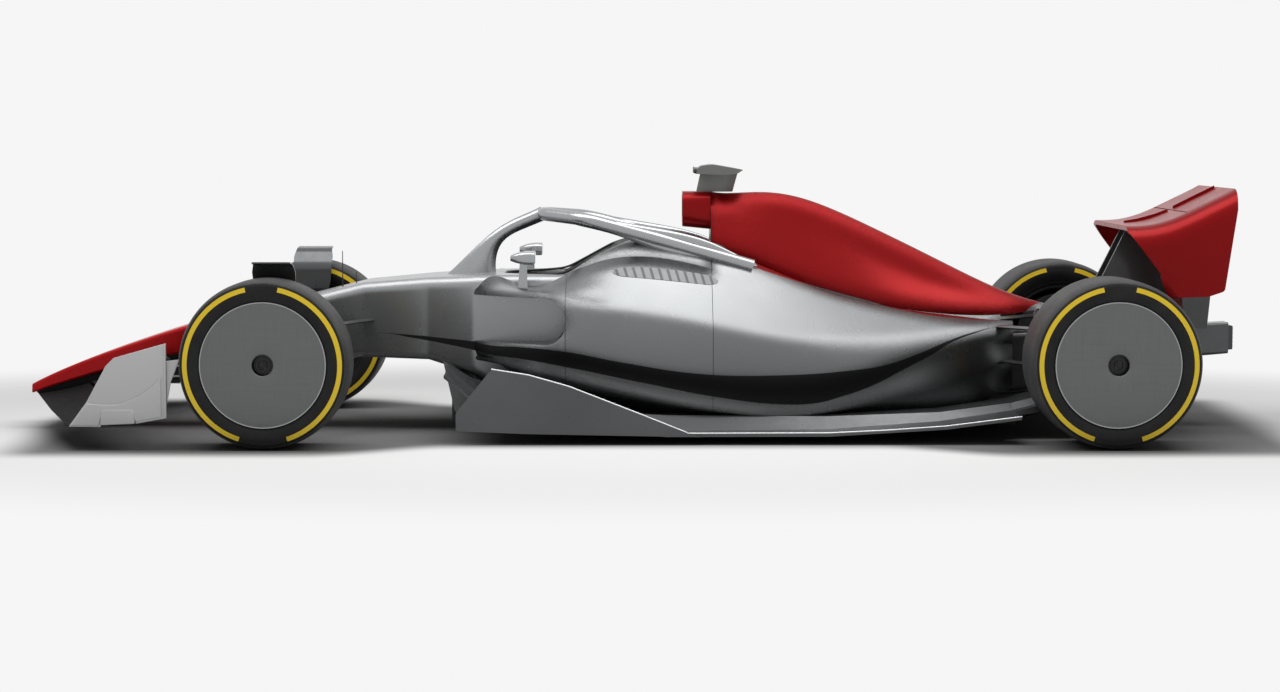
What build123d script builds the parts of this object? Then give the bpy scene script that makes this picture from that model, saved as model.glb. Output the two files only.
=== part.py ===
"""Open wheel racing car with a ground effect floor, a halo and covered wheels.

Lengths are millimetres. The sizes below count x rearward from the front axle,
y from the middle plane (negative is the car's left) and z up from the ground.
The last step moves every piece so that the origin is on the ground in the
middle of the car's length and width.
"""
from math import cos, radians, sin
import os

from build123d import *

# Driving dimensions
WHEELBASE = 3600
NOSE_TIP_X = -1160
TAIL_X = 4284
MIDDLE_X = (NOSE_TIP_X + TAIL_X) / 2
HALF_WIDTH = 1000

# Wheels
TYRE_R = 360
RIM_R = 232
FLANGE_R = 244
FRONT_TYRE_W = 305
REAR_TYRE_W = 405
COVER_R = 267
HUB_RECESS_R = 21
SPINDLE_R = 30
SPINDLE_FIT = 0.05
AXLE_Z = TYRE_R
FRONT_WHEEL_Y = HALF_WIDTH - FRONT_TYRE_W / 2
REAR_WHEEL_Y = HALF_WIDTH - REAR_TYRE_W / 2
DRUM_R = 205

# Steering
KINGPIN_Y = 690
KINGPIN_R = 12
EYE_R = 20
EYE_HALF_H = 12
UPPER_EYE_Z = AXLE_Z + 115
LOWER_EYE_Z = AXLE_Z - 115
DRUM_FACE_Y = 718
STEERING_ARM = 100
RACK_X = -STEERING_ARM
RACK_Z = AXLE_Z + 40
RACK_R = 11
STEERING_WHEEL_AT = (1075, 0, 600)
COLUMN_TILT = 14

# Cell, with its nose joint, its side walls and the bulkhead behind the driver's place
NOSE_JOINT_X = -250
CELL_END_X = 1900
CELL_HALF_W = 330
COCKPIT_FLOOR_Z = 172
FOOT_BOARD_Z = 205
FOOT_BOARD_END_X = 1120
ENGINE_BAY_HALF_W = 200
POD_END_X = 3260

# Wing flap at the back: its slot, its hinge and its span
FLAP_HINGE_X = 4190
FLAP_HINGE_Z = 1073
FLAP_PIN_R = 3
FLAP_R = 206
FLAP_GAP = 6
FLAP_HALF_SPAN = 372
WING_HALF_SPAN = 480
WING_SKIN = 10


def on_x(x):
    """Plane across the car at x, drawn in (y, z)."""
    return Plane(origin=(x, 0, 0), x_dir=(0, 1, 0), z_dir=(1, 0, 0))


def on_y(y):
    """Upright plane along the car at y, drawn in (x, z), with its normal towards -y."""
    return Plane(origin=(0, y, 0), x_dir=(1, 0, 0), z_dir=(0, -1, 0))


def filled(lines):
    """Face inside closed lines, facing up the plane that it is drawn on."""
    face = make_face(lines).face()
    return face if face.normal_at().Z > 0 else -face


def rounded(points, radii):
    """Closed outline through points, each corner rounded by its own radius."""
    return filled(FilletPolyline(*points, radius=radii, close=True))


def both_sides(half):
    """The half outline's points and radii, then their mirror images."""
    points = [(y, z) for y, z, r in half] + [(-y, z) for y, z, r in reversed(half)]
    radii = [r for y, z, r in half] + [r for y, z, r in reversed(half)]
    return points, radii


def loft_halves(rows, columns, ruled=False):
    """Symmetric loft. A row is x and then y, z for each of the columns' radii."""
    sections = []
    for row in rows:
        x, places = row[0], row[1:]
        half = [(y, z, r) for (y, z), r in zip(places, columns)]
        sections.append(on_x(x) * rounded(*both_sides(half)))
    return loft(sections, ruled=ruled)


def side_plate(points, radii, y_low, y_high):
    """Plate with a side outline in (x, z), from y_low to y_high."""
    return extrude(on_y(y_high) * rounded(points, radii), amount=y_high - y_low)


def block(x0, x1, y0, y1, z0, z1):
    return Pos((x0 + x1) / 2, (y0 + y1) / 2, (z0 + z1) / 2) * Box(x1 - x0, y1 - y0, z1 - z0)


def rod(start, end, radius):
    """Round bar between two points."""
    way = Vector(*end) - Vector(*start)
    plane = Plane(origin=start, z_dir=way)
    return extrude(plane * Circle(radius), amount=way.length)


def lens(plane, chord, thickness):
    """Streamlined section of two arcs, its chord along the plane's x."""
    arc_up = ThreePointArc((-chord / 2, 0), (0, thickness / 2), (chord / 2, 0))
    arc_down = ThreePointArc((chord / 2, 0), (0, -thickness / 2), (-chord / 2, 0))
    return plane * filled(arc_up + arc_down)


def blade(start, end, chord0, chord1, thickness):
    """Streamlined link from start to end with its chord level."""
    way = Vector(*end) - Vector(*start)
    level = Vector(0, 0, 1).cross(way)
    sections = []
    for point, chord in ((start, chord0), (end, chord1)):
        plane = Plane(origin=point, x_dir=level, z_dir=way)
        sections.append(lens(plane, chord, thickness))
    return loft(sections)


def mirrored(piece):
    return mirror(piece, about=Plane.XZ)


def wheel_tyre(width):
    """Tyre about its own middle plane, its axle along y."""
    h = width / 2
    half = [
        (RIM_R, h - 46, 0), (FLANGE_R, h - 41, 0), (246, h - 30, 0), (300, h, 40), (348, h - 8, 26),
        (TYRE_R, h - 62, 40),
    ]
    points = [(r, s) for r, s, f in half] + [(r, -s) for r, s, f in reversed(half)]
    radii = [f for r, s, f in half] + [f for r, s, f in reversed(half)]
    return revolve(rounded(points, radii), Axis.Y)


def wheel_rim(width):
    """Barrel with two flanges, a dished web and a hub, outboard towards +y."""
    h = width / 2
    inner_r = RIM_R - 8
    bore_r = SPINDLE_R + SPINDLE_FIT
    section = [
        (RIM_R, h - 46), (FLANGE_R, h - 41), (FLANGE_R, h - 34), (FLANGE_R - 8, h - 34),
        (inner_r, h - 50), (inner_r, h - 88), (60, h - 70), (60, h - 40), (bore_r, h - 40),
        (bore_r, h - 126), (60, h - 126), (60, h - 92), (inner_r, h - 106),
        (inner_r, -h + 50), (FLANGE_R - 8, -h + 34), (FLANGE_R, -h + 34), (FLANGE_R, -h + 41),
        (RIM_R, -h + 46),
    ]
    return revolve(filled(Polyline(*section, close=True)), Axis.Y)


def wheel_cover(width):
    """Slightly crowned disc with a sunk hub nut, resting on the hub and the rim's flange."""
    h = width / 2
    section = [
        (0, h - 40), (0, h - 36), (HUB_RECESS_R, h - 36), (HUB_RECESS_R, h - 9), (120, h - 8),
        (250, h - 11), (COVER_R, h - 14), (COVER_R, h - 18), (FLANGE_R, h - 20),
        (FLANGE_R, h - 34), (FLANGE_R - 8, h - 34), (226, h - 20), (60, h - 14), (60, h - 40),
    ]
    disc = revolve(filled(Polyline(*section, close=True)), Axis.Y)
    nut = extrude(Plane(origin=(0, h - 36, 0), z_dir=(0, 1, 0)) * RegularPolygon(15, 6), amount=16)
    return disc + nut


# Survival cell. Columns: x, upper corner (y, z), lower corner (y, z)
CELL_ROWS = [
    (NOSE_JOINT_X, (165, 520), (140, 338)),
    (0, (182, 580), (160, 335)),
    (346, (212, 665), (192, 328)),
    (640, (266, 690), (248, 321)),
    (850, (CELL_HALF_W, 700), (CELL_HALF_W, 262)),
    (1000, (CELL_HALF_W, 704), (CELL_HALF_W, 178)),
    (1200, (CELL_HALF_W, 704), (CELL_HALF_W, 142)),
    (CELL_END_X, (CELL_HALF_W, 704), (CELL_HALF_W, 110)),
]
CELL_RADII = (45, 30)

# Nose. Columns: x, upper corner (y, z), lower corner (y, z)
NOSE_ROWS = [
    (NOSE_TIP_X, (150, 204), (155, 163)),
    (-1040, (150, 262), (156, 200)),
    (-857, (150, 335), (158, 256)),
    (-600, (152, 424), (155, 322)),
    (NOSE_JOINT_X, (165, 520), (140, 338)),
]
NOSE_RADII = (17, 12)

# Silver body over the cell's sides and the engine. The black band lies between side and waist.
# Columns: x, deck (y, z), shoulder, side, waist, ridge under the waist, undercut's foot
BODY_ROWS = [
    (690, (255, 655), (285, 634), (286, 425), (276, 392), (282, 352), (255, 336)),
    (1000, (320, 690), (455, 642), (478, 410), (440, 345), (470, 318), (380, 290)),
    (1250, (330, 704), (575, 607), (608, 396), (545, 318), (590, 276), (430, 150)),
    (1500, (262, 842), (596, 560), (622, 345), (545, 262), (612, 222), (430, 80)),
    (1800, (240, 842), (602, 512), (630, 300), (535, 203), (618, 160), (420, 56)),
    (2040, (240, 776), (585, 468), (622, 288), (525, 160), (600, 118), (400, 52)),
    (2292, (245, 676), (530, 432), (590, 286), (500, 152), (560, 106), (375, 52)),
    (2585, (235, 582), (440, 420), (500, 310), (430, 212), (450, 150), (340, 60)),
    (2850, (215, 534), (350, 432), (385, 370), (355, 330), (370, 200), (290, 62)),
    (3100, (185, 514), (270, 458), (285, 425), (268, 395), (290, 260), (240, 120)),
    (3400, (140, 540), (180, 492), (184, 458), (172, 420), (180, 320), (150, 200)),
]
BODY_RADII = (40, 34, 14, 10, 10, 14)

# Red spine of the engine cover.
# Columns: x, top (y, z), waist (y, z), flare (y, z), foot hidden in the body (y, z)
COVER_ROWS = [
    (1905, (62, 1069), (118, 985), (170, 860), (225, 700)),
    (2108, (50, 1066), (104, 960), (180, 800), (230, 660)),
    (2405, (42, 1012), (96, 880), (190, 680), (230, 540)),
    (2703, (38, 878), (92, 740), (190, 590), (220, 460)),
    (2950, (38, 756), (84, 640), (165, 556), (190, 440)),
    (3200, (38, 636), (78, 578), (130, 540), (150, 430)),
    (3440, (38, 557), (70, 530), (110, 500), (120, 420)),
    (3560, (36, 524), (62, 505), (96, 480), (105, 410)),
]
COVER_RADII = (30, 40, 40, 5)

# Floor. Columns: x, tunnel roof's half width, edge's half width, roof z, edge z, keel z
FLOOR_ROWS = [
    (740, 560, 700, 300, 280, 34),
    (900, 590, 780, 190, 160, 34),
    (1150, 590, 780, 126, 80, 34),
    (1700, 590, 780, 96, 34, 34),
    (2400, 560, 780, 88, 36, 34),
    (2900, 500, 780, 100, 66, 34),
    (3225, 440, 780, 135, 108, 34),
]
DIFFUSER_ROWS = [
    (3225, 440, 560, 135, 108, 34),
    (3500, 430, 540, 205, 180, 100),
    (3920, 430, 540, 330, 316, 260),
]
FLOOR_SKIN = 12
KEEL_HALF_W = 170
KEEL_Z = 34
PLANK_HALF_W = 150
PLANK_Z = 22


def cockpit_opening():
    """Plan outline of the cockpit's mouth, round at the front."""
    points = [
        (975, 110), (1100, 225), (1250, 252), (1545, 240),
        (1545, -240), (1250, -252), (1100, -225), (975, -110),
    ]
    return rounded(points, [60, 120, 200, 110, 110, 200, 120, 60])


def cell_form():
    return loft_halves(CELL_ROWS, CELL_RADII, ruled=True)


def cockpit_space():
    """Well under the cockpit's mouth, with a higher floor ahead of the seat."""
    well = extrude(Plane.XY.offset(COCKPIT_FLOOR_Z) * cockpit_opening(), amount=700)
    return well - block(900, FOOT_BOARD_END_X, -300, 300, 0, FOOT_BOARD_Z)


def monocoque(cell, rack_tunnel):
    footwell = side_plate(
        [(160, 400), (160, 560), (900, 640), (1010, 640), (1010, 200), (800, 360)],
        [30, 30, 20, 20, 20, 40], -130, 130)
    footwell -= block(900, 1100, -200, 200, 0, FOOT_BOARD_Z)
    return cell - cockpit_space() - footwell - rack_tunnel


def body_form():
    return loft_halves(BODY_ROWS, BODY_RADII)


def inlet_windows():
    """Swept mouths of the cooling ducts, seen from the side, and the ducts behind them."""
    window = side_plate(
        [(560, 416), (1262, 412), (1262, 612), (560, 624)], [0, 92, 92, 0], -900, 900)
    ducts = Part()
    for side in (-1, 1):
        y0, y1 = sorted((side * 345, side * 545))
        ducts += fillet(block(1150, 1420, y0, y1, 432, 588).edges().filter_by(Axis.X), 40)
    return window + ducts


def engine_cover_form():
    return loft_halves(COVER_ROWS, COVER_RADII)


def airbox():
    """Intake ahead of the engine cover's neck, open at the front, with a splitter."""
    outer = loft([
        on_x(1779) * rounded([(-112, 912), (112, 912), (112, 1070), (-112, 1070)], [60] * 4),
        on_x(1905) * rounded([(-118, 900), (118, 900), (96, 1069), (-96, 1069)], [50] * 4),
    ])
    mouth = loft([
        on_x(1770) * rounded([(-98, 926), (98, 926), (98, 1056), (-98, 1056)], [48] * 4),
        on_x(1885) * rounded([(-84, 940), (84, 940), (70, 1040), (-70, 1040)], [36] * 4),
    ])
    splitter = block(1800, 1900, -4, 4, 905, 1062)
    return (outer - mouth) + (splitter & outer)


def nose_form():
    return loft_halves(NOSE_ROWS, NOSE_RADII)


def front_wing_plane():
    """Swept plane that hangs from the nose tip. Columns: y, leading x, z, trailing x, z."""
    rows = [
        (0, -1156, 163, -960, 205), (160, -1128, 158, -900, 205),
        (560, -985, 128, -730, 165), (965, -830, 104, -600, 130),
    ]
    return wing_surface(rows, 15)


def wing_surface(rows, depth):
    """Thin wing through rows of y, leading x, z, trailing x, z, on both sides."""
    sections = []
    for y, x0, z0, x1, z1 in rows:
        plane = on_y(y)
        middle = ((x0 + x1) / 2, (z0 + z1) / 2 - depth)
        upper = ((x0 + x1) / 2, (z0 + z1) / 2 - depth / 5)
        arc_low = ThreePointArc((x0, z0), middle, (x1, z1))
        arc_high = ThreePointArc((x1, z1 + 3), upper, (x0, z0 + 3))
        outline = arc_low + Line((x1, z1), (x1, z1 + 3)) + arc_high + Line((x0, z0 + 3), (x0, z0))
        sections.append(plane * filled(outline))
    half = loft(sections, ruled=True)
    return half + mirrored(half)


def front_wing_flaps():
    """Three slotted flaps on each side. Columns as in wing_surface."""
    flaps = [
        [(175, -885, 215, -790, 250), (560, -715, 178, -620, 215), (965, -585, 140, -520, 190)],
        [(185, -778, 262, -690, 300), (560, -606, 228, -530, 280), (965, -508, 202, -470, 270)],
        [(195, -678, 314, -590, 352), (560, -518, 294, -462, 350), (965, -462, 284, -436, 385)],
    ]
    solids = []
    for rows in flaps:
        sections = []
        for y, x0, z0, x1, z1 in rows:
            middle = ((x0 + x1) / 2 + 4, (z0 + z1) / 2 - 9)
            arc_low = ThreePointArc((x0, z0), middle, (x1, z1))
            upper = ((x0 + x1) / 2 + 1, (z0 + z1) / 2 - 2)
            arc_high = ThreePointArc((x1, z1 + 4), upper, (x0, z0 + 4))
            outline = arc_low + Line((x1, z1), (x1, z1 + 4)) + arc_high
            outline += Line((x0, z0 + 4), (x0, z0))
            sections.append(on_y(y) * filled(outline))
        half = loft(sections, ruled=True)
        solids += [half, mirrored(half)]
    return solids


def front_wing_endplate():
    """Left and right plates with a stepped foot."""
    points = [
        (-825, 103), (-685, 99), (-681, 133), (-540, 133), (-538, 112), (-407, 137),
        (-407, 455), (-627, 391), (-661, 358), (-744, 205),
    ]
    radii = [6, 3, 0, 0, 3, 8, 8, 30, 30, 60]
    plate = side_plate(points, radii, 965, 977)
    foot = side_plate([(-681, 112), (-540, 112), (-540, 171), (-681, 171)], [0, 0, 0, 0], 977, 983)
    return plate + foot


HALO_TUBE_R = 30
# Halo pillar. Columns: front edge (x, z), rear edge (x, z), thickness
PILLAR_ROWS = [
    ((690, 676), (940, 676), 46), ((790, 770), (930, 752), 40), ((867, 844), (958, 834), 38),
    ((955, 912), (1024, 884), 42), ((1052, 962), (1110, 920), 50), ((1134, 1000), (1160, 938), 58),
]


def halo():
    """Hoop of round tube on a streamlined pillar that leans back into it."""
    hoop = [
        (2090, 262, 742), (1650, 285, 868), (1340, 240, 950), (1150, 60, 968),
        (1150, -60, 968), (1340, -240, 950), (1650, -285, 868), (2090, -262, 742),
    ]
    path = FilletPolyline(*hoop, radius=[300, 200, 90, 90, 200, 300])
    start = Plane(origin=path @ 0, z_dir=path % 0)
    tube = sweep(start * Circle(HALO_TUBE_R), path=path)
    sections = []
    for (x0, z0), (x1, z1), thickness in PILLAR_ROWS:
        middle = ((x0 + x1) / 2, 0, (z0 + z1) / 2)
        plane = Plane(origin=middle, x_dir=(x1 - x0, 0, z1 - z0), z_dir=(z0 - z1, 0, x1 - x0))
        sections.append(lens(plane, Vector(x1 - x0, z1 - z0).length, thickness))
    return tube + loft(sections)


def headrest():
    """Padded horseshoe in the cockpit's mouth."""
    outer = extrude(Plane.XY.offset(640) * cockpit_opening(), amount=120)
    inner = extrude(
        Plane.XY.offset(600) * rounded(
            [(1000, 190), (1440, 180), (1440, -180), (1000, -190)], [0, 90, 90, 0]), amount=260)
    keep = block(1240, 1600, -300, 300, 600, 800)
    return (outer & keep) - inner


def seat():
    """Reclined shell with raised sides."""
    back = side_plate(
        [(1070, 165), (1230, 165), (1530, 560), (1530, 640), (1480, 640), (1200, 225), (1070, 200)],
        [10, 90, 60, 10, 20, 110, 10], -200, 200)
    hollow = side_plate(
        [(1080, 185), (1222, 185), (1500, 560), (1460, 700), (1040, 700)],
        [10, 90, 10, 10, 10], -165, 165)
    sides = side_plate(
        [(1070, 165), (1230, 165), (1530, 560), (1530, 640), (1440, 640), (1180, 330), (1070, 260)],
        [10, 90, 60, 10, 40, 110, 20], -200, 200)
    return (back + sides) - hollow


def column_plane():
    """Plane of the steering wheel's face, its normal along the column."""
    tilt = radians(COLUMN_TILT)
    return Plane(origin=STEERING_WHEEL_AT, x_dir=(0, 1, 0), z_dir=(cos(tilt), 0, sin(tilt)))


def steering_wheel():
    """Flat-sided wheel with two grips on a short column, turned about the column's axis."""
    tilt = column_plane()
    face = rounded([(-118, -55), (118, -55), (118, 62), (-118, 62)], [30, 30, 30, 30])
    body = extrude(tilt * face, amount=26)
    for side in (-1, 1):
        y0, y1 = sorted((side * 80, side * 106))
        grip = rounded([(y0, -40), (y1, -40), (y1, 44), (y0, 44)], [12] * 4)
        body += extrude(tilt.offset(26) * grip, amount=20)
    column = extrude(tilt * Circle(16), amount=-70)
    return body + column


def cell_column_socket():
    return extrude(column_plane().offset(-170) * Circle(16.05), amount=200)


def dash():
    """Bulkhead that carries the column across the cockpit's front."""
    boss = extrude(column_plane().offset(-66) * Circle(30), amount=40)
    bridge = side_plate([(985, 560), (1012, 560), (1012, 650), (985, 650)], [0] * 4, -130, 130)
    return boss + bridge - cell_column_socket()


def camera_pod():
    """Wing-shaped camera housing on a faired stalk."""
    stalk = loft([
        lens(Plane(origin=(1925, 0, 1068), x_dir=(1, 0, 0)), 165, 60),
        lens(Plane(origin=(1945, 0, 1150), x_dir=(1, 0, 0)), 170, 66),
    ])
    top = side_plate(
        [(1835, 1150), (1837, 1166), (1863, 1186), (1914, 1193), (2010, 1176), (2051, 1168),
         (2026, 1152), (1980, 1146)],
        [4, 10, 20, 120, 60, 0, 8, 60], -150, 150)
    plan = extrude(Plane.XY.offset(1100) * rounded(
        [(1835, -110), (1950, -150), (2051, -140), (2051, 140), (1950, 150), (1835, 110)],
        [30, 60, 10, 10, 60, 30]), amount=150)
    return stalk + (top & plan)


def mirror_unit():
    """Right mirror: teardrop housing on an upright stalk."""
    housing = loft([
        on_x(1020) * rounded([(400, 776), (500, 776), (500, 798), (400, 798)], [10] * 4),
        on_x(1060) * rounded([(380, 764), (520, 764), (520, 812), (380, 812)], [18] * 4),
        on_x(1125) * rounded([(375, 760), (525, 760), (525, 815), (375, 815)], [20] * 4),
    ])
    stalk = side_plate([(1048, 640), (1092, 640), (1088, 770), (1058, 770)], [0] * 4, 404, 414)
    return housing, stalk


def floor_solid(rows):
    sections = []
    for x, roof_w, edge_w, roof_z, edge_z, keel_z in rows:
        slope = 44
        half = [
            (KEEL_HALF_W, keel_z + FLOOR_SKIN), (KEEL_HALF_W + 30, roof_z + FLOOR_SKIN),
            (roof_w, roof_z + FLOOR_SKIN), (roof_w + slope, edge_z + FLOOR_SKIN),
            (edge_w, edge_z + FLOOR_SKIN), (edge_w, edge_z), (roof_w + slope - 8, edge_z),
            (roof_w - 8, roof_z), (KEEL_HALF_W + 42, roof_z), (KEEL_HALF_W + 12, keel_z),
        ]
        points = half + [(-y, z) for y, z in reversed(half)]
        sections.append(on_x(x) * filled(Polyline(*points, close=True)))
    return loft(sections, ruled=True)


STRAKE_Y = (290, 370)
STRAKE_HALF_T = 2.5


def floor():
    """Floor and diffuser, with the diffuser's strakes."""
    shape = floor_solid(FLOOR_ROWS) + floor_solid(DIFFUSER_ROWS)
    outline = [(3240, 80), (3240, 144), (3500, 211), (3905, 332), (3905, 250), (3500, 120)]
    for y in STRAKE_Y + tuple(-y for y in STRAKE_Y):
        shape += side_plate(outline, [0] * len(outline), y - STRAKE_HALF_T, y + STRAKE_HALF_T)
    return shape


def below_floor():
    """Everything lower than the tunnel roofs' upper face."""
    line = [(row[0], row[3] + FLOOR_SKIN) for row in FLOOR_ROWS + DIFFUSER_ROWS[1:]]
    points = [(600, line[0][1])] + line + [(3920, -10), (600, -10)]
    return side_plate(points, [0] * len(points), -1000, 1000)


def floor_fences():
    """Outer and inner turning vanes at the tunnels' mouths."""
    outer = side_plate(
        [(797, 60), (797, 137), (950, 325), (1109, 300), (1280, 252), (1594, 130), (1790, 51),
         (1856, 34), (1095, 48)],
        [10, 30, 20, 300, 600, 600, 20, 0, 100], 780, 788)
    inner = side_plate(
        [(716, 330), (768, 101), (830, 90), (1000, 120), (1000, 200), (840, 255)],
        [0, 20, 20, 20, 20, 20], 396, 402)
    return outer, inner


# Ribs along the wing's middle, on its front part and on its flap: outlines in (x, z)
WING_RIB = [
    (3790, 925), (3850, 930), (3930, 952), (3988, 978), (3988, 990), (3930, 968), (3850, 946),
    (3790, 936),
]
FLAP_RIB = [(4010, 985), (4120, 1036), (4200, 1078), (4198, 1096), (4120, 1058), (4012, 1004)]
RIB_HALF_W = 5


def wing_rib(outline):
    return side_plate(outline, [0] * len(outline), -RIB_HALF_W, RIB_HALF_W)


def rear_wing_form():
    """Arched skin whose tips roll down into its side plates. Columns: x, top z, depth."""
    rows = [
        (3727, 926, 20), (3850, 934, 26), (3930, 956, 24), (4030, 1000, 20),
        (4120, 1044, 18), (4209, 1090, 12),
    ]
    sections = []
    for x, top, depth in rows:
        y, low = WING_HALF_SPAN, 600
        outer = [(-y, low), (-y, top), (y, top), (y, low)]
        inner = [(y - WING_SKIN, low), (y - WING_SKIN, top - depth),
                 (-y + WING_SKIN, top - depth), (-y + WING_SKIN, low)]
        sections.append(on_x(x) * rounded(outer + inner, [0, 105, 105, 0, 0, 95, 95, 0]))
    skin = loft(sections)
    outline = side_plate(
        [(3727, 905), (3727, 1100), (4209, 1100), (4203, 1000), (4151, 642), (4081, 618),
         (3949, 613)],
        [0, 0, 0, 30, 20, 30, 10], -500, 500)
    return skin & outline


def flap_space(gap):
    """Round about the hinge, so that the slot keeps its width as the flap's front edge rises."""
    end = FLAP_HALF_SPAN + gap
    return rod((FLAP_HINGE_X, -end, FLAP_HINGE_Z), (FLAP_HINGE_X, end, FLAP_HINGE_Z), FLAP_R + gap)


def flap_pin(side, radius):
    """Hinge pin between the wing's rolled tip and the flap's end."""
    ends = (side * (FLAP_HALF_SPAN - 22), side * (FLAP_HALF_SPAN + 14))
    return rod((FLAP_HINGE_X, ends[0], FLAP_HINGE_Z), (FLAP_HINGE_X, ends[1], FLAP_HINGE_Z), radius)


def rear_wing_pylon():
    points = [(3640, 500), (3640, 600), (3790, 905), (3840, 908), (3975, 665), (3975, 440)]
    return side_plate(points, [0, 60, 0, 0, 60, 0], 62, 74)


def rear_wing_lower():
    """Grey lower side plate under the wing's side."""
    return side_plate(
        [(3962, 613), (4087, 619), (4074, 477), (3980, 481)], [0, 0, 6, 6], 470, 480)


def beam_wing():
    section = [(3930, 560), (4040, 600)]
    lower = ThreePointArc(section[0], (3985, 566), section[1])
    upper = ThreePointArc((4040, 605), (3985, 577), (3930, 566))
    outline = lower + Line((4040, 600), (4040, 605)) + upper + Line((3930, 566), (3930, 560))
    return extrude(on_y(470) * filled(outline), amount=940)


def gearbox():
    return loft([
        on_x(2500) * rounded([(-170, 80), (170, 80), (150, 430), (-150, 430)], [30] * 4),
        on_x(3450) * rounded([(-110, 170), (110, 170), (90, 440), (-90, 440)], [30] * 4),
    ])


def crash_structure():
    return loft([
        on_x(3450) * rounded([(-110, 170), (110, 170), (90, 440), (-90, 440)], [24] * 4),
        on_x(3800) * rounded([(-84, 290), (84, 290), (74, 455), (-74, 455)], [20] * 4),
        on_x(4170) * rounded([(-66, 326), (66, 326), (60, 470), (-60, 470)], [14] * 4),
        on_x(4262) * rounded([(-62, 334), (62, 334), (60, 475), (-60, 475)], [12] * 4),
    ])


def rain_light():
    return side_plate([(4262, 350), (TAIL_X, 352), (TAIL_X, 460), (4262, 462)], [0, 5, 5, 0], -50, 50)


def exhaust():
    pipe = extrude(on_x(3420) * Pos(0, 500) * Circle(50), amount=170)
    bore = extrude(on_x(3440) * Pos(0, 500) * Circle(44), amount=170)
    return pipe - bore


def front_links():
    """Upper and lower wishbones and the push rod of the right side."""
    solids = []
    # Columns: eye z, front leg's x and z, rear leg's x and z
    for z, front_x, front_z, rear_x, rear_z in (
            (UPPER_EYE_Z, -330, 455, 430, 500), (LOWER_EYE_Z, -300, 375, 380, 362)):
        arm = Pos(0, KINGPIN_Y, z) * Cylinder(EYE_R, 2 * EYE_HALF_H)
        for x, inner_z in ((front_x, front_z), (rear_x, rear_z)):
            arm += blade((0, KINGPIN_Y - 6, z), (x, 120, inner_z), 22, 66, 17)
        if z == LOWER_EYE_Z:
            arm += blade((26, KINGPIN_Y - 50, z + 10), (60, 120, 600), 40, 44, 18)
        arm -= Pos(0, KINGPIN_Y, z) * Cylinder(KINGPIN_R + SPINDLE_FIT, 3 * EYE_HALF_H)
        solids.append(arm)
    return solids


def front_upright():
    """Right upright with its closed drum, kingpin post, steering arm and spindle."""
    drum = extrude(Plane(origin=(0, DRUM_FACE_Y, AXLE_Z), z_dir=(0, 1, 0)) * Circle(DRUM_R),
                   amount=FRONT_WHEEL_Y + 24 - DRUM_FACE_Y)
    spindle = extrude(Plane(origin=(0, DRUM_FACE_Y, AXLE_Z), z_dir=(0, 1, 0)) * Circle(SPINDLE_R),
                      amount=FRONT_WHEEL_Y + FRONT_TYRE_W / 2 - 42 - DRUM_FACE_Y)
    post_h = UPPER_EYE_Z - LOWER_EYE_Z + 2 * EYE_HALF_H + 8
    post = Pos(0, KINGPIN_Y, AXLE_Z) * Cylinder(KINGPIN_R, post_h)
    web_h = UPPER_EYE_Z - LOWER_EYE_Z - 2 * EYE_HALF_H - 12
    web = block(-14, 14, KINGPIN_Y - 14, DRUM_FACE_Y + 2, AXLE_Z - web_h / 2, AXLE_Z + web_h / 2)
    arm = block(-STEERING_ARM - 16, 0, KINGPIN_Y - 12, KINGPIN_Y + 12, RACK_Z - 30, RACK_Z - 18)
    pin = Pos(-STEERING_ARM, KINGPIN_Y, RACK_Z - 4) * Cylinder(8, 30)
    return drum + spindle + post + web + arm + pin


def wheel_deflector():
    """Right curved plate that rises from the drum and bends over the tyre's inner shoulder."""
    line = [(715, 500), (715, 540), (676, 584), (672, 700), (730, 772), (800, 780)]
    back = [(800, 786), (724, 779), (666, 704), (670, 582), (709, 536), (709, 500)]
    radii = [0, 12, 16, 70, 60, 0, 0, 66, 76, 22, 18, 0]
    shape = extrude(on_x(-120) * rounded(line + back, radii), amount=260)
    outline = side_plate(
        [(-60, 490), (60, 490), (97, 620), (106, 740), (90, 810), (-60, 810), (-80, 740), (-80, 620)],
        [0, 0, 40, 20, 20, 40, 40, 40], 600, 900)
    return shape & outline


def steering_rack():
    """Rack bar with a track rod and a wide eye at each end."""
    bar = rod((RACK_X, -(KINGPIN_Y - 22), RACK_Z), (RACK_X, KINGPIN_Y - 22, RACK_Z), RACK_R)
    for side in (-1, 1):
        eye = Pos(RACK_X, side * KINGPIN_Y, RACK_Z) * Cylinder(26, 18)
        bar += eye
    for side in (-1, 1):
        bar -= Pos(RACK_X, side * KINGPIN_Y, RACK_Z) * Cylinder(16, 40)
    return bar


def rear_links():
    """Right rear links, toe link and drive shaft, from the gearbox to the upright's face."""
    face_y = REAR_WHEEL_Y - REAR_TYRE_W / 2 + 30
    solids = []
    # Columns: inboard x, z, outboard x, z, chord inboard and outboard
    for x0, z0, x1, z1, c0, c1 in (
            (3090, 470, 3560, 466, 70, 60), (3820, 440, 3640, 468, 60, 60),
            (3110, 318, 3545, 300, 60, 50), (3720, 338, 3650, 300, 60, 50)):
        solids.append(blade((x0, 90, z0), (x1, face_y + 4, z1), c0, c1, 18))
    solids.append(rod((WHEELBASE, 70, AXLE_Z), (WHEELBASE, face_y + 4, AXLE_Z), 26))
    solids.append(blade((3480, 90, 372), (3520, face_y + 4, 372), 34, 34, 14))
    half_space = block(2900, 4000, 60, face_y, 0, 900)
    return [piece & half_space for piece in solids]


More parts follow.
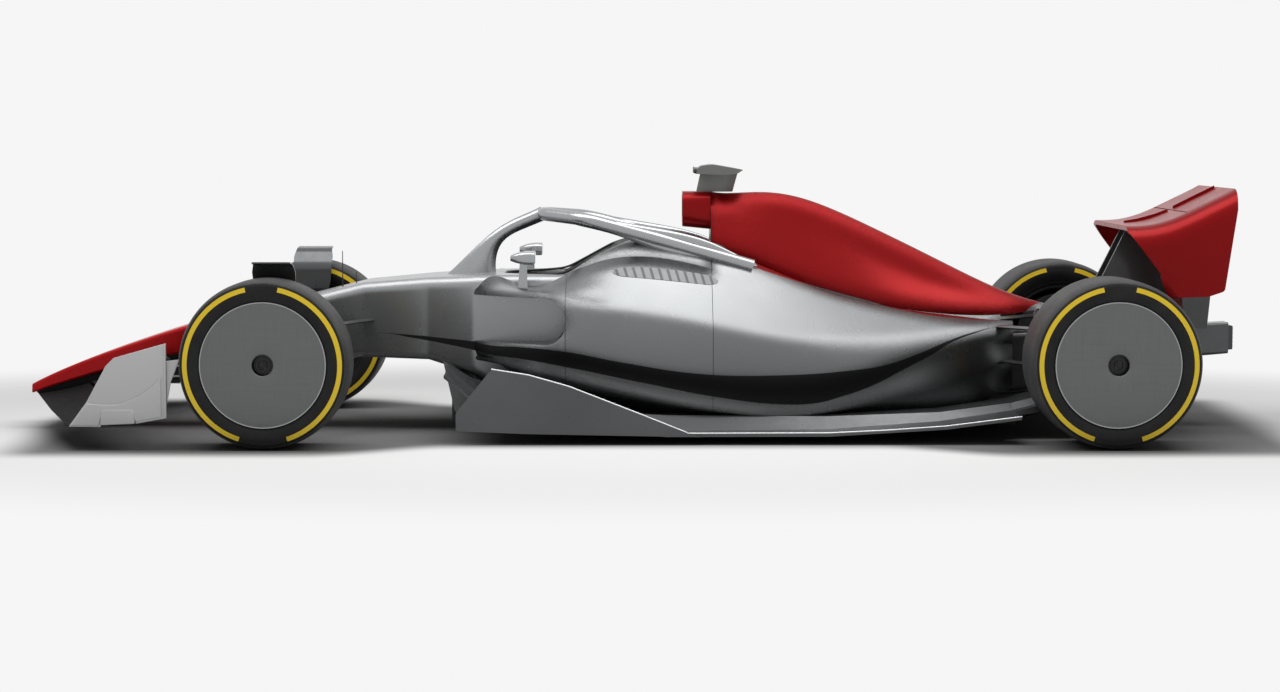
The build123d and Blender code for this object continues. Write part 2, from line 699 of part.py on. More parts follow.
def rear_upright():
    """Right rear upright with its closed drum and spindle."""
    face_y = REAR_WHEEL_Y - REAR_TYRE_W / 2 + 30
    at = Plane(origin=(WHEELBASE, face_y, AXLE_Z), z_dir=(0, 1, 0))
    drum = extrude(at * Circle(DRUM_R), amount=REAR_WHEEL_Y + 70 - face_y)
    spindle = extrude(at * Circle(SPINDLE_R), amount=HALF_WIDTH - 42 - face_y)
    return drum + spindle


def plank():
    return side_plate([(1000, PLANK_Z), (3280, PLANK_Z), (3280, KEEL_Z), (1000, KEEL_Z)],
                      [0] * 4, -PLANK_HALF_W, PLANK_HALF_W)


def engine():
    return block(CELL_END_X, 2500, -180, 180, 90, 520)


def as_node(pieces, shift):
    """One shape of separate, shifted solids from parts that may hold several."""
    solids = [shift * solid for piece in pieces for solid in piece.solids()]
    return Compound(solids) if len(solids) > 1 else solids[0]


def outermost(piece):
    """The solid that reaches furthest to the right, of a link cut by the body."""
    return max(piece.solids(), key=lambda solid: solid.bounding_box().max.Y)


def largest(piece):
    return max(piece.solids(), key=lambda solid: solid.volume)


def build_all():
    nodes = {}
    tunnel = rod((RACK_X, -400, RACK_Z), (RACK_X, 400, RACK_Z), RACK_R + SPINDLE_FIT)
    cell = cell_form()
    body = body_form()
    floor_part = floor() - cell
    nose = nose_form()
    rear_body = body - cell - below_floor() - inlet_windows()
    opening = extrude(Plane.XY.offset(COCKPIT_FLOOR_Z) * cockpit_opening(), amount=900)
    surround_zone = block(1250, CELL_END_X, -CELL_HALF_W, CELL_HALF_W, 690, 1000)
    bay = block(CELL_END_X, 3600, -ENGINE_BAY_HALF_W, ENGINE_BAY_HALF_W, 0, 1000)

    nodes["survival_cell"] = monocoque(cell, tunnel)
    nodes["cockpit_surround"] = (rear_body & surround_zone) - opening
    pods = rear_body - block(600, CELL_END_X, -CELL_HALF_W, CELL_HALF_W, 0, 1000) - bay
    pods -= block(POD_END_X, 3600, -1000, 1000, 0, 1000)
    right = block(600, 3700, 0, 1000, 0, 1000)
    nodes["sidepod_right"] = pods & right
    nodes["sidepod_left"] = mirrored(nodes["sidepod_right"])
    cover = engine_cover_form()
    nodes["engine_cover"] = largest(cover - body - gearbox() - crash_structure() - exhaust())
    nodes["airbox"] = airbox()
    nodes["nose"] = nose
    nodes["front_wing_main"] = front_wing_plane() - nose
    nodes["front_wing_flaps"] = [piece - nose for piece in front_wing_flaps()]
    plate = front_wing_endplate()
    nodes["front_wing_endplates"] = [plate, mirrored(plate)]
    nodes["halo"] = largest(
        halo() - cell - nodes["sidepod_right"] - nodes["sidepod_left"] - nodes["engine_cover"]
        - nodes["cockpit_surround"])
    nodes["headrest"] = headrest()
    nodes["seat"] = seat() & cockpit_space()
    nodes["dash"] = dash() - nodes["survival_cell"]
    nodes["camera_pod"] = camera_pod() - cover - nodes["airbox"]
    housing, stalk = mirror_unit()
    unit = housing + (stalk - body)
    nodes["mirrors"] = [unit, mirrored(unit)]
    nodes["floor"] = floor_part
    outer, inner = floor_fences()
    inner -= floor_part
    nodes["floor_fences"] = [outer, mirrored(outer), inner, mirrored(inner)]
    nodes["plank"] = plank()
    nodes["engine"] = engine()
    nodes["gearbox"] = gearbox() - floor_part
    nodes["crash_structure"] = crash_structure()
    nodes["rain_light"] = rain_light()
    nodes["exhaust"] = exhaust()
    wing = rear_wing_form()
    lower = rear_wing_lower()
    flap = (wing & flap_space(0)) + wing_rib(FLAP_RIB)
    nodes["rear_wing"] = wing - flap_space(FLAP_GAP) + wing_rib(WING_RIB)
    for side in (-1, 1):
        nodes["rear_wing"] += flap_pin(side, FLAP_PIN_R)
        flap -= flap_pin(side, FLAP_PIN_R + SPINDLE_FIT)
    nodes["rear_wing_flap"] = flap
    pylon = rear_wing_pylon() - wing - crash_structure()
    nodes["rear_wing_pylons"] = [pylon, mirrored(pylon)]
    nodes["rear_wing_lower_plates"] = [lower - wing, mirrored(lower - wing)]
    nodes["beam_wing"] = beam_wing() - pylon - mirrored(pylon)
    links = [largest(piece - cell - nose) for piece in front_links()]
    nodes["front_suspension"] = links + [mirrored(piece) for piece in links]
    rear = [
        outermost(piece - nodes["gearbox"] - nodes["crash_structure"] - nodes["sidepod_right"])
        for piece in rear_links()
    ]
    nodes["rear_suspension"] = rear + [mirrored(piece) for piece in rear]
    upright = rear_upright()
    nodes["rear_uprights"] = [upright, mirrored(upright)]
    nodes["steering_rack"] = steering_rack()
    nodes["steering_wheel"] = steering_wheel()
    knuckle = front_upright()
    deflector = wheel_deflector()
    nodes["front_upright_right"] = knuckle
    nodes["front_upright_left"] = mirrored(knuckle)
    nodes["wheel_deflector_right"] = deflector
    nodes["wheel_deflector_left"] = mirrored(deflector)
    for end, x, y, width in (
            ("front", 0, FRONT_WHEEL_Y, FRONT_TYRE_W), ("rear", WHEELBASE, REAR_WHEEL_Y, REAR_TYRE_W)):
        place = Pos(x, y, AXLE_Z)
        pieces = {"tyre": wheel_tyre(width), "rim": wheel_rim(width), "wheel_cover": wheel_cover(width)}
        for name, piece in pieces.items():
            nodes[f"{name}_{end}_right"] = place * piece
            nodes[f"{name}_{end}_left"] = mirrored(place * piece)
    return nodes


def main():
    os.makedirs("parts", exist_ok=True)
    shift = Pos(-MIDDLE_X, 0, 0)
    for name, pieces in build_all().items():
        shape = as_node(pieces if isinstance(pieces, list) else [pieces], shift)
        export_step(shape, f"parts/{name}.step")


if __name__ == "__main__":
    main()
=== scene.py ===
"""The looks of an open wheel racing car: painted body, slick tyres, cockpit trim and studio."""
from math import atan2, cos, degrees, hypot, pi, radians, sin

import bmesh
import bpy
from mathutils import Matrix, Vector


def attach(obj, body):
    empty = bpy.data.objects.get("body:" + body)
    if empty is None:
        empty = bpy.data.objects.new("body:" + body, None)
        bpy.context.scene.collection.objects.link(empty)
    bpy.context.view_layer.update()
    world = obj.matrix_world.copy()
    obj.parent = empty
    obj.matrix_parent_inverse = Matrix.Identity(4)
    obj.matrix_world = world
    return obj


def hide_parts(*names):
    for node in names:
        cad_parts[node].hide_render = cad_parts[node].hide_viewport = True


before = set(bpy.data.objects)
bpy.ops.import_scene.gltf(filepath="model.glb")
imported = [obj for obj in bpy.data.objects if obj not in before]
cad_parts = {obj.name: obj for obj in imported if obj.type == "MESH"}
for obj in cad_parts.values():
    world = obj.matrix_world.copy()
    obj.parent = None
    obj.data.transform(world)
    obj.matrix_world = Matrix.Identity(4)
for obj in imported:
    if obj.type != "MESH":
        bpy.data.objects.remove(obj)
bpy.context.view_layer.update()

# Driving sizes, in millimetres counted from the front axle, the middle plane and the ground
MIDDLE_X = 1562
WHEELBASE = 3600
TYRE_R = 360
FRONT_TYRE_W = 305
REAR_TYRE_W = 405
FRONT_WHEEL_Y = 847.5
REAR_WHEEL_Y = 797.5
SIDES = {"left": -1, "right": 1}


def at(x, y, z):
    """A point given in millimetres from the front axle, as metres in the car's frame."""
    return Vector(((x - MIDDLE_X) / 1000, y / 1000, z / 1000))


# Shaping helpers

def pick_none():
    bpy.ops.object.select_all(action="DESELECT")


def pick(piece):
    pick_none()
    piece.select_set(True)
    bpy.context.view_layer.objects.active = piece


def pick_mesh():
    bpy.ops.mesh.select_all(action="SELECT")


def edit(piece):
    pick(piece)
    bpy.ops.object.mode_set(mode="EDIT")
    pick_mesh()


def done():
    bpy.ops.object.mode_set(mode="OBJECT")


def settle(piece):
    """Puts the piece's place into its mesh."""
    pick(piece)
    bpy.ops.object.transform_apply(location=True, rotation=True, scale=True)


def added(name, add, **values):
    """The piece that an adding operator makes."""
    pick_none()
    add(**values)
    piece = bpy.context.object
    piece.name = name
    return piece


def smooth(piece, angle=35):
    pick(piece)
    bpy.ops.object.shade_smooth_by_angle(angle=radians(angle))


def use_modifier(piece, kind, **values):
    pick(piece)
    modifier = piece.modifiers.new(kind.title(), kind)
    for key, value in values.items():
        setattr(modifier, key, value)
    bpy.ops.object.modifier_apply(modifier=modifier.name)


def rounded_edges(piece, width, segments=2, angle=30):
    use_modifier(piece, "BEVEL", width=width, segments=segments, limit_method="ANGLE",
                 angle_limit=radians(angle), use_clamp_overlap=True)


def closed_up(piece):
    """Merges doubled points and turns every face outwards."""
    edit(piece)
    bpy.ops.mesh.remove_doubles(threshold=0.00001)
    pick_mesh()
    bpy.ops.mesh.normals_make_consistent(inside=False)
    done()


def thickened(piece, thickness, angle, offset=0):
    use_modifier(piece, "SOLIDIFY", thickness=thickness, offset=offset)
    closed_up(piece)
    smooth(piece, angle)
    return piece


def pushed(piece, way):
    edit(piece)
    bpy.ops.mesh.extrude_region_move(TRANSFORM_OT_translate={"value": way})
    done()


def spun(piece, centre, axis, steps):
    """Turns a line once about an axis."""
    edit(piece)
    bpy.ops.mesh.spin(steps=steps, angle=2 * pi, center=centre, axis=axis)
    done()
    closed_up(piece)
    smooth(piece)
    return piece


def drawn_line(name, points, filled=False):
    """A line drawn point by point, or the flat face inside it."""
    piece = added(name, bpy.ops.mesh.primitive_plane_add, size=0.001, location=points[0])
    bpy.ops.object.mode_set(mode="EDIT")
    bpy.ops.mesh.merge(type="CENTER")
    for start, end in zip(points, points[1:]):
        bpy.ops.mesh.extrude_vertices_move(TRANSFORM_OT_translate={"value": end - start})
    if filled:
        pick_mesh()
        bpy.ops.mesh.edge_face_add()
    done()
    settle(piece)
    return piece


def plate(name, points, depth, edge=0.001, segments=2):
    """A flat outline pushed out along depth, with rounded edges."""
    piece = drawn_line(name, points, filled=True)
    pushed(piece, depth)
    closed_up(piece)
    if edge:
        rounded_edges(piece, edge, segments)
    smooth(piece)
    return piece


def ribbon(name, points, across, thickness):
    """A strip: a line pushed sideways along across, then thickened."""
    piece = drawn_line(name, points)
    pushed(piece, across)
    return thickened(piece, thickness, 50)


def turned(name, profile, centre, side, steps):
    """A profile of (radius, y towards the outside) turned about the axle through centre."""
    points = [centre + Vector((0, side * y / 1000, r / 1000)) for r, y in profile]
    return spun(drawn_line(name, points), centre, (0, 1, 0), steps)


def rod(name, start, end, radius, sides=16, end_radius=None):
    """A round bar, or a cone, between two points."""
    way = end - start
    piece = added(name, bpy.ops.mesh.primitive_cone_add, vertices=sides, radius1=radius,
                  radius2=radius if end_radius is None else end_radius, depth=way.length,
                  location=(start + end) / 2, rotation=way.to_track_quat("Z", "Y").to_euler())
    settle(piece)
    rounded_edges(piece, min(radius, way.length) * 0.15, 2, 50)
    smooth(piece)
    return piece


def pipe(name, points, radius, sides=8, order=3):
    """A bent round line through control points."""
    piece = added(name, bpy.ops.curve.primitive_nurbs_path_add, location=(0, 0, 0))
    piece.data.splines.clear()
    spline = piece.data.splines.new("NURBS")
    spline.points.add(len(points) - 1)
    for point, place in zip(spline.points, points):
        point.co = (*place, 1)
    spline.order_u = order
    spline.use_endpoint_u = True
    piece.data.bevel_depth = radius
    piece.data.bevel_resolution = sides // 4
    piece.data.use_fill_caps = True
    pick(piece)
    bpy.ops.object.convert(target="MESH")
    piece = bpy.context.object
    smooth(piece, 60)
    return piece


def skinned(name, rings):
    """A closed skin over rings of the same number of points, extruded from ring to ring."""
    piece = drawn_line(name, rings[0], filled=True)
    edit(piece)
    for before, after in zip(rings, rings[1:]):
        bpy.ops.mesh.extrude_region_move(TRANSFORM_OT_translate={"value": (0, 0, 0)})
        shape = bmesh.from_edit_mesh(piece.data)
        for vertex in [v for v in shape.verts if v.select]:
            nearest = min(range(len(before)), key=lambda i: (before[i] - vertex.co).length_squared)
            vertex.co = after[nearest]
        bmesh.update_edit_mesh(piece.data)
    done()
    closed_up(piece)
    smooth(piece, 40)
    return piece


def joined(name, pieces):
    pick(pieces[0])
    for piece in pieces[1:]:
        piece.select_set(True)
    bpy.ops.object.join()
    piece = bpy.context.object
    piece.name = name
    return piece


def copied(piece, name):
    """A copy with its own mesh."""
    twin = piece.copy()
    twin.data = piece.data.copy()
    twin.name = name
    bpy.context.scene.collection.objects.link(twin)
    return twin


def mirror_twin(piece, name):
    """The same piece on the car's other side."""
    twin = copied(piece, name)
    pick(twin)
    bpy.ops.transform.mirror(orient_type="GLOBAL", constraint_axis=(False, True, False),
                             center_override=(0, 0, 0))
    bpy.ops.object.transform_apply(location=True, rotation=True, scale=True)
    edit(twin)
    bpy.ops.mesh.normals_make_consistent(inside=False)
    done()
    return twin


def dress(piece, material):
    piece.data.materials.clear()
    piece.data.materials.append(material)


def dress_faces(piece, material, chosen):
    """Gives a second material to the faces whose middle and normal pass a test."""
    piece.data.materials.append(material)
    index = len(piece.data.materials) - 1
    for face in piece.data.polygons:
        if chosen(face.center, face.normal):
            face.material_index = index


def fit(piece, body, material=None):
    """Fastens a finished piece to its body and gives its finish."""
    if material is not None:
        dress(piece, material)
    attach(piece, body)
    return piece


def both_sides(name, build, material):
    """Builds a piece for the chassis's right side and its twin for the left."""
    right = build(f"{name}_right")
    pair = (right, mirror_twin(right, f"{name}_left"))
    for piece in pair:
        fit(piece, "chassis", material)
    return pair


# Finishes

# Rates of the patterns, in radians a metre, and the gills' slant and number
TOW_RATE = 260 * pi
CLOTH_RATE = 2600
GILL_SLANT = 0.3
GILLS_A_METRE = 26
FIN_RATE = 2200
TUBE_RATE = 520


def scaled(colour, share):
    return tuple(part * share for part in colour)


class NodeTree:
    """A node tree being made, with short ways to add and join nodes."""

    def __init__(self, owner):
        owner.use_nodes = True
        self.nodes = owner.node_tree.nodes
        self.links = owner.node_tree.links

    def node(self, kind, **values):
        node = self.nodes.new(kind)
        for key, value in values.items():
            setattr(node, key, value)
        return node

    def join(self, start, end):
        self.links.new(start, end)

    def feed(self, socket, value):
        """Sets a socket to a colour or number, or joins it to another socket."""
        if isinstance(value, tuple):
            socket.default_value = (*value, 1)
        elif isinstance(value, (int, float)):
            socket.default_value = value
        else:
            self.join(value, socket)

    def math(self, operation, first, second=None):
        node = self.node("ShaderNodeMath", operation=operation)
        for socket, value in zip(node.inputs, (first, second)):
            if value is not None:
                self.feed(socket, value)
        return node.outputs[0]

    def ranged(self, value, low, high, start=0.0, end=1.0, kind="LINEAR"):
        node = self.node("ShaderNodeMapRange", interpolation_type=kind)
        sockets = ("Value", "From Min", "From Max", "To Min", "To Max")
        self.join(value, node.inputs[sockets[0]])
        for socket, bound in zip(sockets[1:], (start, end, low, high)):
            node.inputs[socket].default_value = bound
        return node.outputs["Result"]


class Finish(NodeTree):
    """A material being made."""

    def __init__(self, name):
        self.material = bpy.data.materials.new(name)
        super().__init__(self.material)
        self.surface = self.nodes["Principled BSDF"]
        self.place = self.node("ShaderNodeTexCoord").outputs["Object"]

    def split(self, place=None):
        """A place's x, y and z."""
        node = self.node("ShaderNodeSeparateXYZ")
        self.join(place or self.place, node.inputs[0])
        return node.outputs

    def mapped(self, scale, shift=(0, 0, 0)):
        """The place, scaled and then moved."""
        node = self.node("ShaderNodeMapping")
        node.inputs["Scale"].default_value = scale
        node.inputs["Location"].default_value = shift
        self.join(self.place, node.inputs["Vector"])
        return node.outputs[0]

    def noise(self, scale, detail=3, where=None):
        node = self.node("ShaderNodeTexNoise")
        node.inputs["Scale"].default_value = scale
        node.inputs["Detail"].default_value = detail
        self.join(where or self.place, node.inputs["Vector"])
        return node.outputs["Fac"]

    def varied(self, scale, detail, low, high, start=0.3, end=0.7):
        """A noise brought to run from low to high."""
        return self.ranged(self.noise(scale, detail), low, high, start, end)

    def weave(self, first, second, rate):
        """The product of two sines, as threads that cross."""
        waves = [self.math("SINE", self.math("MULTIPLY", way, rate)) for way in (first, second)]
        return self.math("MULTIPLY", *waves)

    def tinted(self, tone, shade):
        """A tone multiplied by a shade."""
        return self.blend(1, tone, shade, "MULTIPLY")

    def blend(self, share, first, second, kind="MIX"):
        """Mixes two colours or sockets by a share."""
        node = self.node("ShaderNodeMix", data_type="RGBA", blend_type=kind)
        for place, value in ((0, share), (6, first), (7, second)):
            self.feed(node.inputs[place], value)
        return node.outputs[2]

    def bump(self, height, strength, distance):
        node = self.node("ShaderNodeBump")
        node.inputs["Strength"].default_value = strength
        node.inputs["Distance"].default_value = distance
        self.join(height, node.inputs["Height"])
        self.join(node.outputs[0], self.surface.inputs["Normal"])

    def softened(self, groove, radius):
        """Rounds hard edges in the light, and cuts a shallow groove along the seams."""
        rounding = self.node("ShaderNodeBevel", samples=6)
        rounding.inputs["Radius"].default_value = radius
        cut = self.node("ShaderNodeBump", invert=True)
        cut.inputs["Strength"].default_value = 0.3
        cut.inputs["Distance"].default_value = 0.001
        self.join(groove, cut.inputs["Height"])
        self.join(rounding.outputs[0], cut.inputs["Normal"])
        self.join(cut.outputs[0], self.surface.inputs["Normal"])

    def paint(self, tone):
        self.join(tone, self.surface.inputs["Base Color"])

    def sheen(self, rough):
        self.join(rough, self.surface.inputs["Roughness"])

    def set(self, **values):
        for key, value in values.items():
            self.surface.inputs[key.replace("_", " ")].default_value = value

    def wear(self, colour, vary, roughness, spread, scale=3.0, fine=60.0):
        """Slow colour changes and finer changes of roughness."""
        light = tuple(min(1, share) for share in scaled(colour, 1 + vary))
        self.paint(self.blend(self.noise(scale, 4), scaled(colour, 1 - vary), light))
        self.sheen(self.varied(fine, 5, roughness - spread, roughness + spread, 0.25, 0.75))


def plain_finish(name, colour, roughness, vary=0.08, spread=0.06, metallic=0.0, coat=0.0,
                 bump=0.1, bump_scale=400.0, bump_size=0.0002):
    finish = Finish(name)
    finish.wear(colour, vary, roughness, spread)
    finish.set(Metallic=metallic, Coat_Weight=coat, Coat_Roughness=0.08)
    finish.bump(finish.noise(bump_scale, 4), bump, bump_size)
    return finish.material


def carbon_finish(name, colour, roughness, coat, metallic, specular=0.5):
    """Dark twill weave of carbon tows under lacquer."""
    finish = Finish(name)
    x, y, z = finish.split()
    along = finish.math("ADD", x, z)
    across = finish.math("ADD", y, finish.math("MULTIPLY", z, 0.7))
    first, second = (finish.math(kind, along, across) for kind in ("ADD", "SUBTRACT"))
    weave = finish.weave(first, second, TOW_RATE)
    tows = finish.ranged(weave, 0.0, 1.0, -1.0, 1.0)
    tone = finish.blend(tows, scaled(colour, 0.86), scaled(colour, 1.14))
    finish.paint(finish.tinted(tone, finish.varied(2.2, 3, 0.88, 1.1)))
    finish.sheen(finish.varied(35, 4, roughness - 0.06, roughness + 0.06))
    finish.set(Metallic=metallic, Coat_Weight=coat, Coat_Roughness=0.12, Specular_IOR_Level=specular)
    finish.bump(tows, 0.05, 0.0002)
    return finish.material


# Paint lines seen from the side, as (x, z)
RED_LINE = [
    (1905, 845), (2046, 760), (2315, 666), (2584, 590), (2786, 538), (2988, 508), (3257, 500),
    (3391, 560), (3600, 600),
]
BAND_TOP = [
    (440, 440), (566, 433), (718, 421), (834, 412), (923, 399), (1062, 400), (1250, 388),
    (1511, 341), (1860, 291), (2208, 284), (2509, 298), (2657, 314), (2809, 358), (2957, 412),
    (3070, 446), (3200, 470),
]
BAND_FOOT = [
    (440, 438), (566, 419), (718, 395), (834, 374), (923, 356), (1073, 345), (1248, 318),
    (1598, 246), (1948, 178), (2212, 148), (2360, 151), (2474, 177), (2588, 212), (2776, 300),
    (2889, 356), (2963, 401), (3070, 440), (3200, 470),
]
LINE_START = 400
LINE_END = 3650
LINE_TOP = 900
SILVER = (0.2, 0.205, 0.208)
RED = (0.25, 0.003, 0.004)
# A lighter copy of the red, as painted light on the nose's shaded sides
NOSE_RED_PAINTED_LIGHT = (0.42, 0.004, 0.006)
BLACK = (0.006, 0.006, 0.007)
WHITE = (0.6, 0.6, 0.605)
WHITE_END_FROM = 0.868
RED_START = 1905
# Shut lines across the body, behind the inlets and at the engine cover's front
SEAM_PLACES = (1262, 1905)


def line_height(finish, x, rows):
    """Height of a paint line, in metres, at x."""
    share = finish.ranged(x, 0.0, 1.0, at(LINE_START, 0, 0).x, at(LINE_END, 0, 0).x)
    curve = finish.node("ShaderNodeFloatCurve")
    line = curve.mapping.curves[0]
    spots = [((px - LINE_START) / (LINE_END - LINE_START), pz / LINE_TOP) for px, pz in rows]
    first, last = spots[0], spots[-1]
    spots = [(0, first[1])] * (first[0] > 0) + spots + [(1, last[1])] * (last[0] < 1)
    for index, spot in enumerate(spots):
        if index < 2:
            line.points[index].location = spot
        else:
            line.points.new(*spot)
    curve.mapping.update()
    finish.join(share, curve.inputs["Value"])
    return finish.math("MULTIPLY", curve.outputs[0], LINE_TOP / 1000)


def above(finish, z, height, soft=0.0012):
    return finish.ranged(finish.math("SUBTRACT", z, height), 0.0, 1.0, -soft, soft)


def body_paint(name, softness, shine=0.95, low=0.6, high=1.2):
    """Satin liquid silver, with painted shade low down and painted light higher up, and the red spine and
    the black band of the livery.
    """
    finish = Finish(name)
    x, _, z = finish.split()
    flake = finish.varied(900, 2, 0.97, 1.03)
    # Painted shade and painted light: the silver is scaled by low at 0.25 m up and by high at 0.75 m up,
    # multiplied into the flake
    shade = finish.math("MULTIPLY", flake, finish.ranged(z, low, high, 0.25, 0.75))
    drift = finish.blend(finish.noise(1.6, 3), scaled(SILVER, 0.9), scaled(SILVER, 1.1))
    colour = finish.tinted(drift, shade)
    red_share = finish.math("MULTIPLY", above(finish, z, line_height(finish, x, RED_LINE)),
                            finish.math("GREATER_THAN", x, at(RED_START, 0, 0).x))
    red_tone = finish.blend(finish.noise(2.4, 3), scaled(RED, 0.9), scaled(RED, 1.08))
    colour = finish.blend(red_share, colour, red_tone)
    metal = finish.ranged(red_share, shine, 0.5)
    top = above(finish, z, line_height(finish, x, BAND_TOP))
    foot = above(finish, z, line_height(finish, x, BAND_FOOT))
    band_share = finish.math("MULTIPLY", foot, finish.math("SUBTRACT", 1.0, top))
    colour = finish.blend(band_share, colour, BLACK)
    metal = finish.math("MULTIPLY", metal, finish.math("SUBTRACT", 1.0, band_share))
    rough = finish.math("ADD", finish.varied(5, 3, 0.25, 0.3), finish.math("MULTIPLY", band_share, 0.3))
    gaps = [finish.math("ABSOLUTE", finish.math("SUBTRACT", x, at(place, 0, 0).x)) for place in SEAM_PLACES]
    seams = finish.math("MAXIMUM", *(finish.ranged(gap, 1.0, 0.0, 0.0006, 0.0016) for gap in gaps))
    finish.paint(finish.blend(seams, colour, BLACK))
    finish.join(metal, finish.surface.inputs["Metallic"])
    finish.sheen(rough)
    finish.set(Specular_IOR_Level=0.2)
    finish.softened(seams, softness)
    return finish.material


def red_paint(name, colour, metallic):
    finish = Finish(name)
    finish.wear(colour, 0.09, 0.3, 0.04, 2.4, 12)
    finish.set(Metallic=metallic, Specular_IOR_Level=0.15)
    finish.bump(finish.noise(900, 2), 0.02, 0.0001)
    return finish.material


def rubber_finish(name, clean, dusty):
    """Slick rubber: matt, a little dusty, with fine moulding grain."""
    finish = Finish(name)
    finish.paint(finish.blend(finish.varied(7, 6, 0.0, 1.0, 0.42, 0.72), clean, dusty))
    finish.sheen(finish.varied(120, 6, 0.5, 0.72))
    finish.set(Specular_IOR_Level=0.2)
    finish.bump(finish.noise(650, 6), 0.22, 0.0003)
    return finish.material


def cover_finish(name):
    """Satin grey disc with fine crossed scuffs."""
    finish = Finish(name)
    upright = finish.noise(9, 4, finish.mapped((9, 1, 0.6)))
    level = finish.noise(9, 4, finish.mapped((0.6, 1, 9)))
    scuff = finish.math("MULTIPLY", finish.math("ADD", upright, level), 0.5)
    share = finish.ranged(scuff, 0.0, 1.0, 0.3, 0.7)
    finish.paint(finish.blend(share, (0.125, 0.127, 0.128), (0.15, 0.152, 0.153)))
    finish.sheen(finish.ranged(scuff, 0.34, 0.5, 0.35, 0.65))
    finish.set(Metallic=0.75)
    finish.bump(finish.noise(500, 4), 0.06, 0.0002)
    return finish.material


def cloth_finish(name, colour):
    finish = Finish(name)
    x, y, z = finish.split()
    weave = finish.weave(finish.math("ADD", x, y), finish.math("ADD", z, y), CLOTH_RATE)
    finish.wear(colour, 0.14, 0.82, 0.08, 8, 90)
    finish.set(Sheen_Weight=0.3, Sheen_Roughness=0.4)
    finish.bump(weave, 0.35, 0.0003)
    return finish.material


def louvre_finish(name):
    """Silver panel with slanted cooling gills, their gaps darkened as painted shade."""
    finish = Finish(name)
    x, y, _ = finish.split()
    slant = finish.math("ADD", x, finish.math("MULTIPLY", y, GILL_SLANT))
    teeth = finish.math("FRACT", finish.math("MULTIPLY", slant, GILLS_A_METRE))
    # Painted shade: the gaps between the gills are darkened
    gill_gap_painted_shade = finish.ranged(teeth, 0.0, 1.0, 0.66, 0.7)
    finish.paint(finish.blend(gill_gap_painted_shade, scaled(SILVER, 0.62), scaled(SILVER, 0.3)))
    finish.sheen(finish.varied(30, 3, 0.26, 0.34))
    finish.set(Metallic=0.9, Specular_IOR_Level=0.2)
    finish.bump(teeth, 0.3, 0.002)
    return finish.material


def radiator_finish(name):
    """Fine upright fins between level tubes, with painted shade in the gaps between them."""
    finish = Finish(name)
    _, y, z = finish.split()
    fins = finish.math("SINE", finish.math("MULTIPLY", y, FIN_RATE))
    tubes = finish.ranged(finish.math("SINE", finish.math("MULTIPLY", z, TUBE_RATE)), 0.0, 1.0, 0.55, 0.8)
    # Painted shade: between the fins and the tubes the core is nearly black
    share = finish.math("MAXIMUM", finish.ranged(fins, 0.0, 0.5, -1.0, 1.0), tubes)
    finish.paint(finish.blend(share, (0.02, 0.02, 0.022), (0.2, 0.2, 0.205)))
    finish.sheen(finish.varied(60, 4, 0.4, 0.6))
    finish.set(Metallic=0.8)
    finish.bump(share, 0.5, 0.001)
    return finish.material


def glowless_lens(name, colour):
    finish = Finish(name)
    finish.wear(colour, 0.15, 0.16, 0.04, 40, 60)
    finish.set(Coat_Weight=0.6, Coat_Roughness=0.04)
    finish.bump(finish.noise(260, 2), 0.1, 0.0004)
    return finish.material


livery = body_paint("silver_red_and_black_paint", 0.11)
# Painted light: the cell's silver is a lighter copy of the livery's, with a stronger height gradient, to
# lift its shaded sides
cell_paint = body_paint("silver_and_black_cell_paint", 0.03, 0.6, 1.0, 1.9)
red = red_paint("satin_red_paint", RED, 0.4)
# Painted light: the nose gets a lighter copy of the satin red
nose_red_painted_light = red_paint("red_paint_with_painted_light", NOSE_RED_PAINTED_LIGHT, 0.25)
white = plain_finish("satin_white_paint", WHITE, 0.34, 0.03, 0.05, coat=0.3)
black = carbon_finish("matt_black_weave", (0.008, 0.008, 0.009), 0.7, 0.0, 0.0, specular=0.06)
gunmetal = carbon_finish("gunmetal_weave", (0.082, 0.084, 0.087), 0.33, 0.3, 0.6)
dark_weave = carbon_finish("dark_weave", (0.035, 0.036, 0.038), 0.36, 0.4, 0.3)
silver = plain_finish("satin_silver_paint", (0.34, 0.35, 0.355), 0.26, 0.06, 0.04, metallic=0.92, coat=0.3)
camera_grey = plain_finish("grey_green_housing", (0.16, 0.165, 0.155), 0.42, 0.08, metallic=0.35)
sidewall = rubber_finish("sidewall_rubber", (0.012, 0.012, 0.0125), (0.022, 0.0215, 0.021))
# Painted light: the tread rubber is lighter than the sidewall's, standing in for grazing light on the tread
tread_painted_light = rubber_finish("slick_tread_rubber_painted_light", (0.05, 0.05, 0.051), (0.075, 0.073, 0.071))
band_yellow = plain_finish("yellow_band", (0.95, 0.66, 0.02), 0.5, 0.07, bump=0.15, bump_scale=900)
cover_grey = cover_finish("satin_grey_cover")
# Painted highlight: a lighter metal for the cover's rolled edge
cover_edge_painted_highlight = plain_finish("cover_edge_painted_highlight", (0.34, 0.345, 0.35), 0.3, 0.05, metallic=0.9)
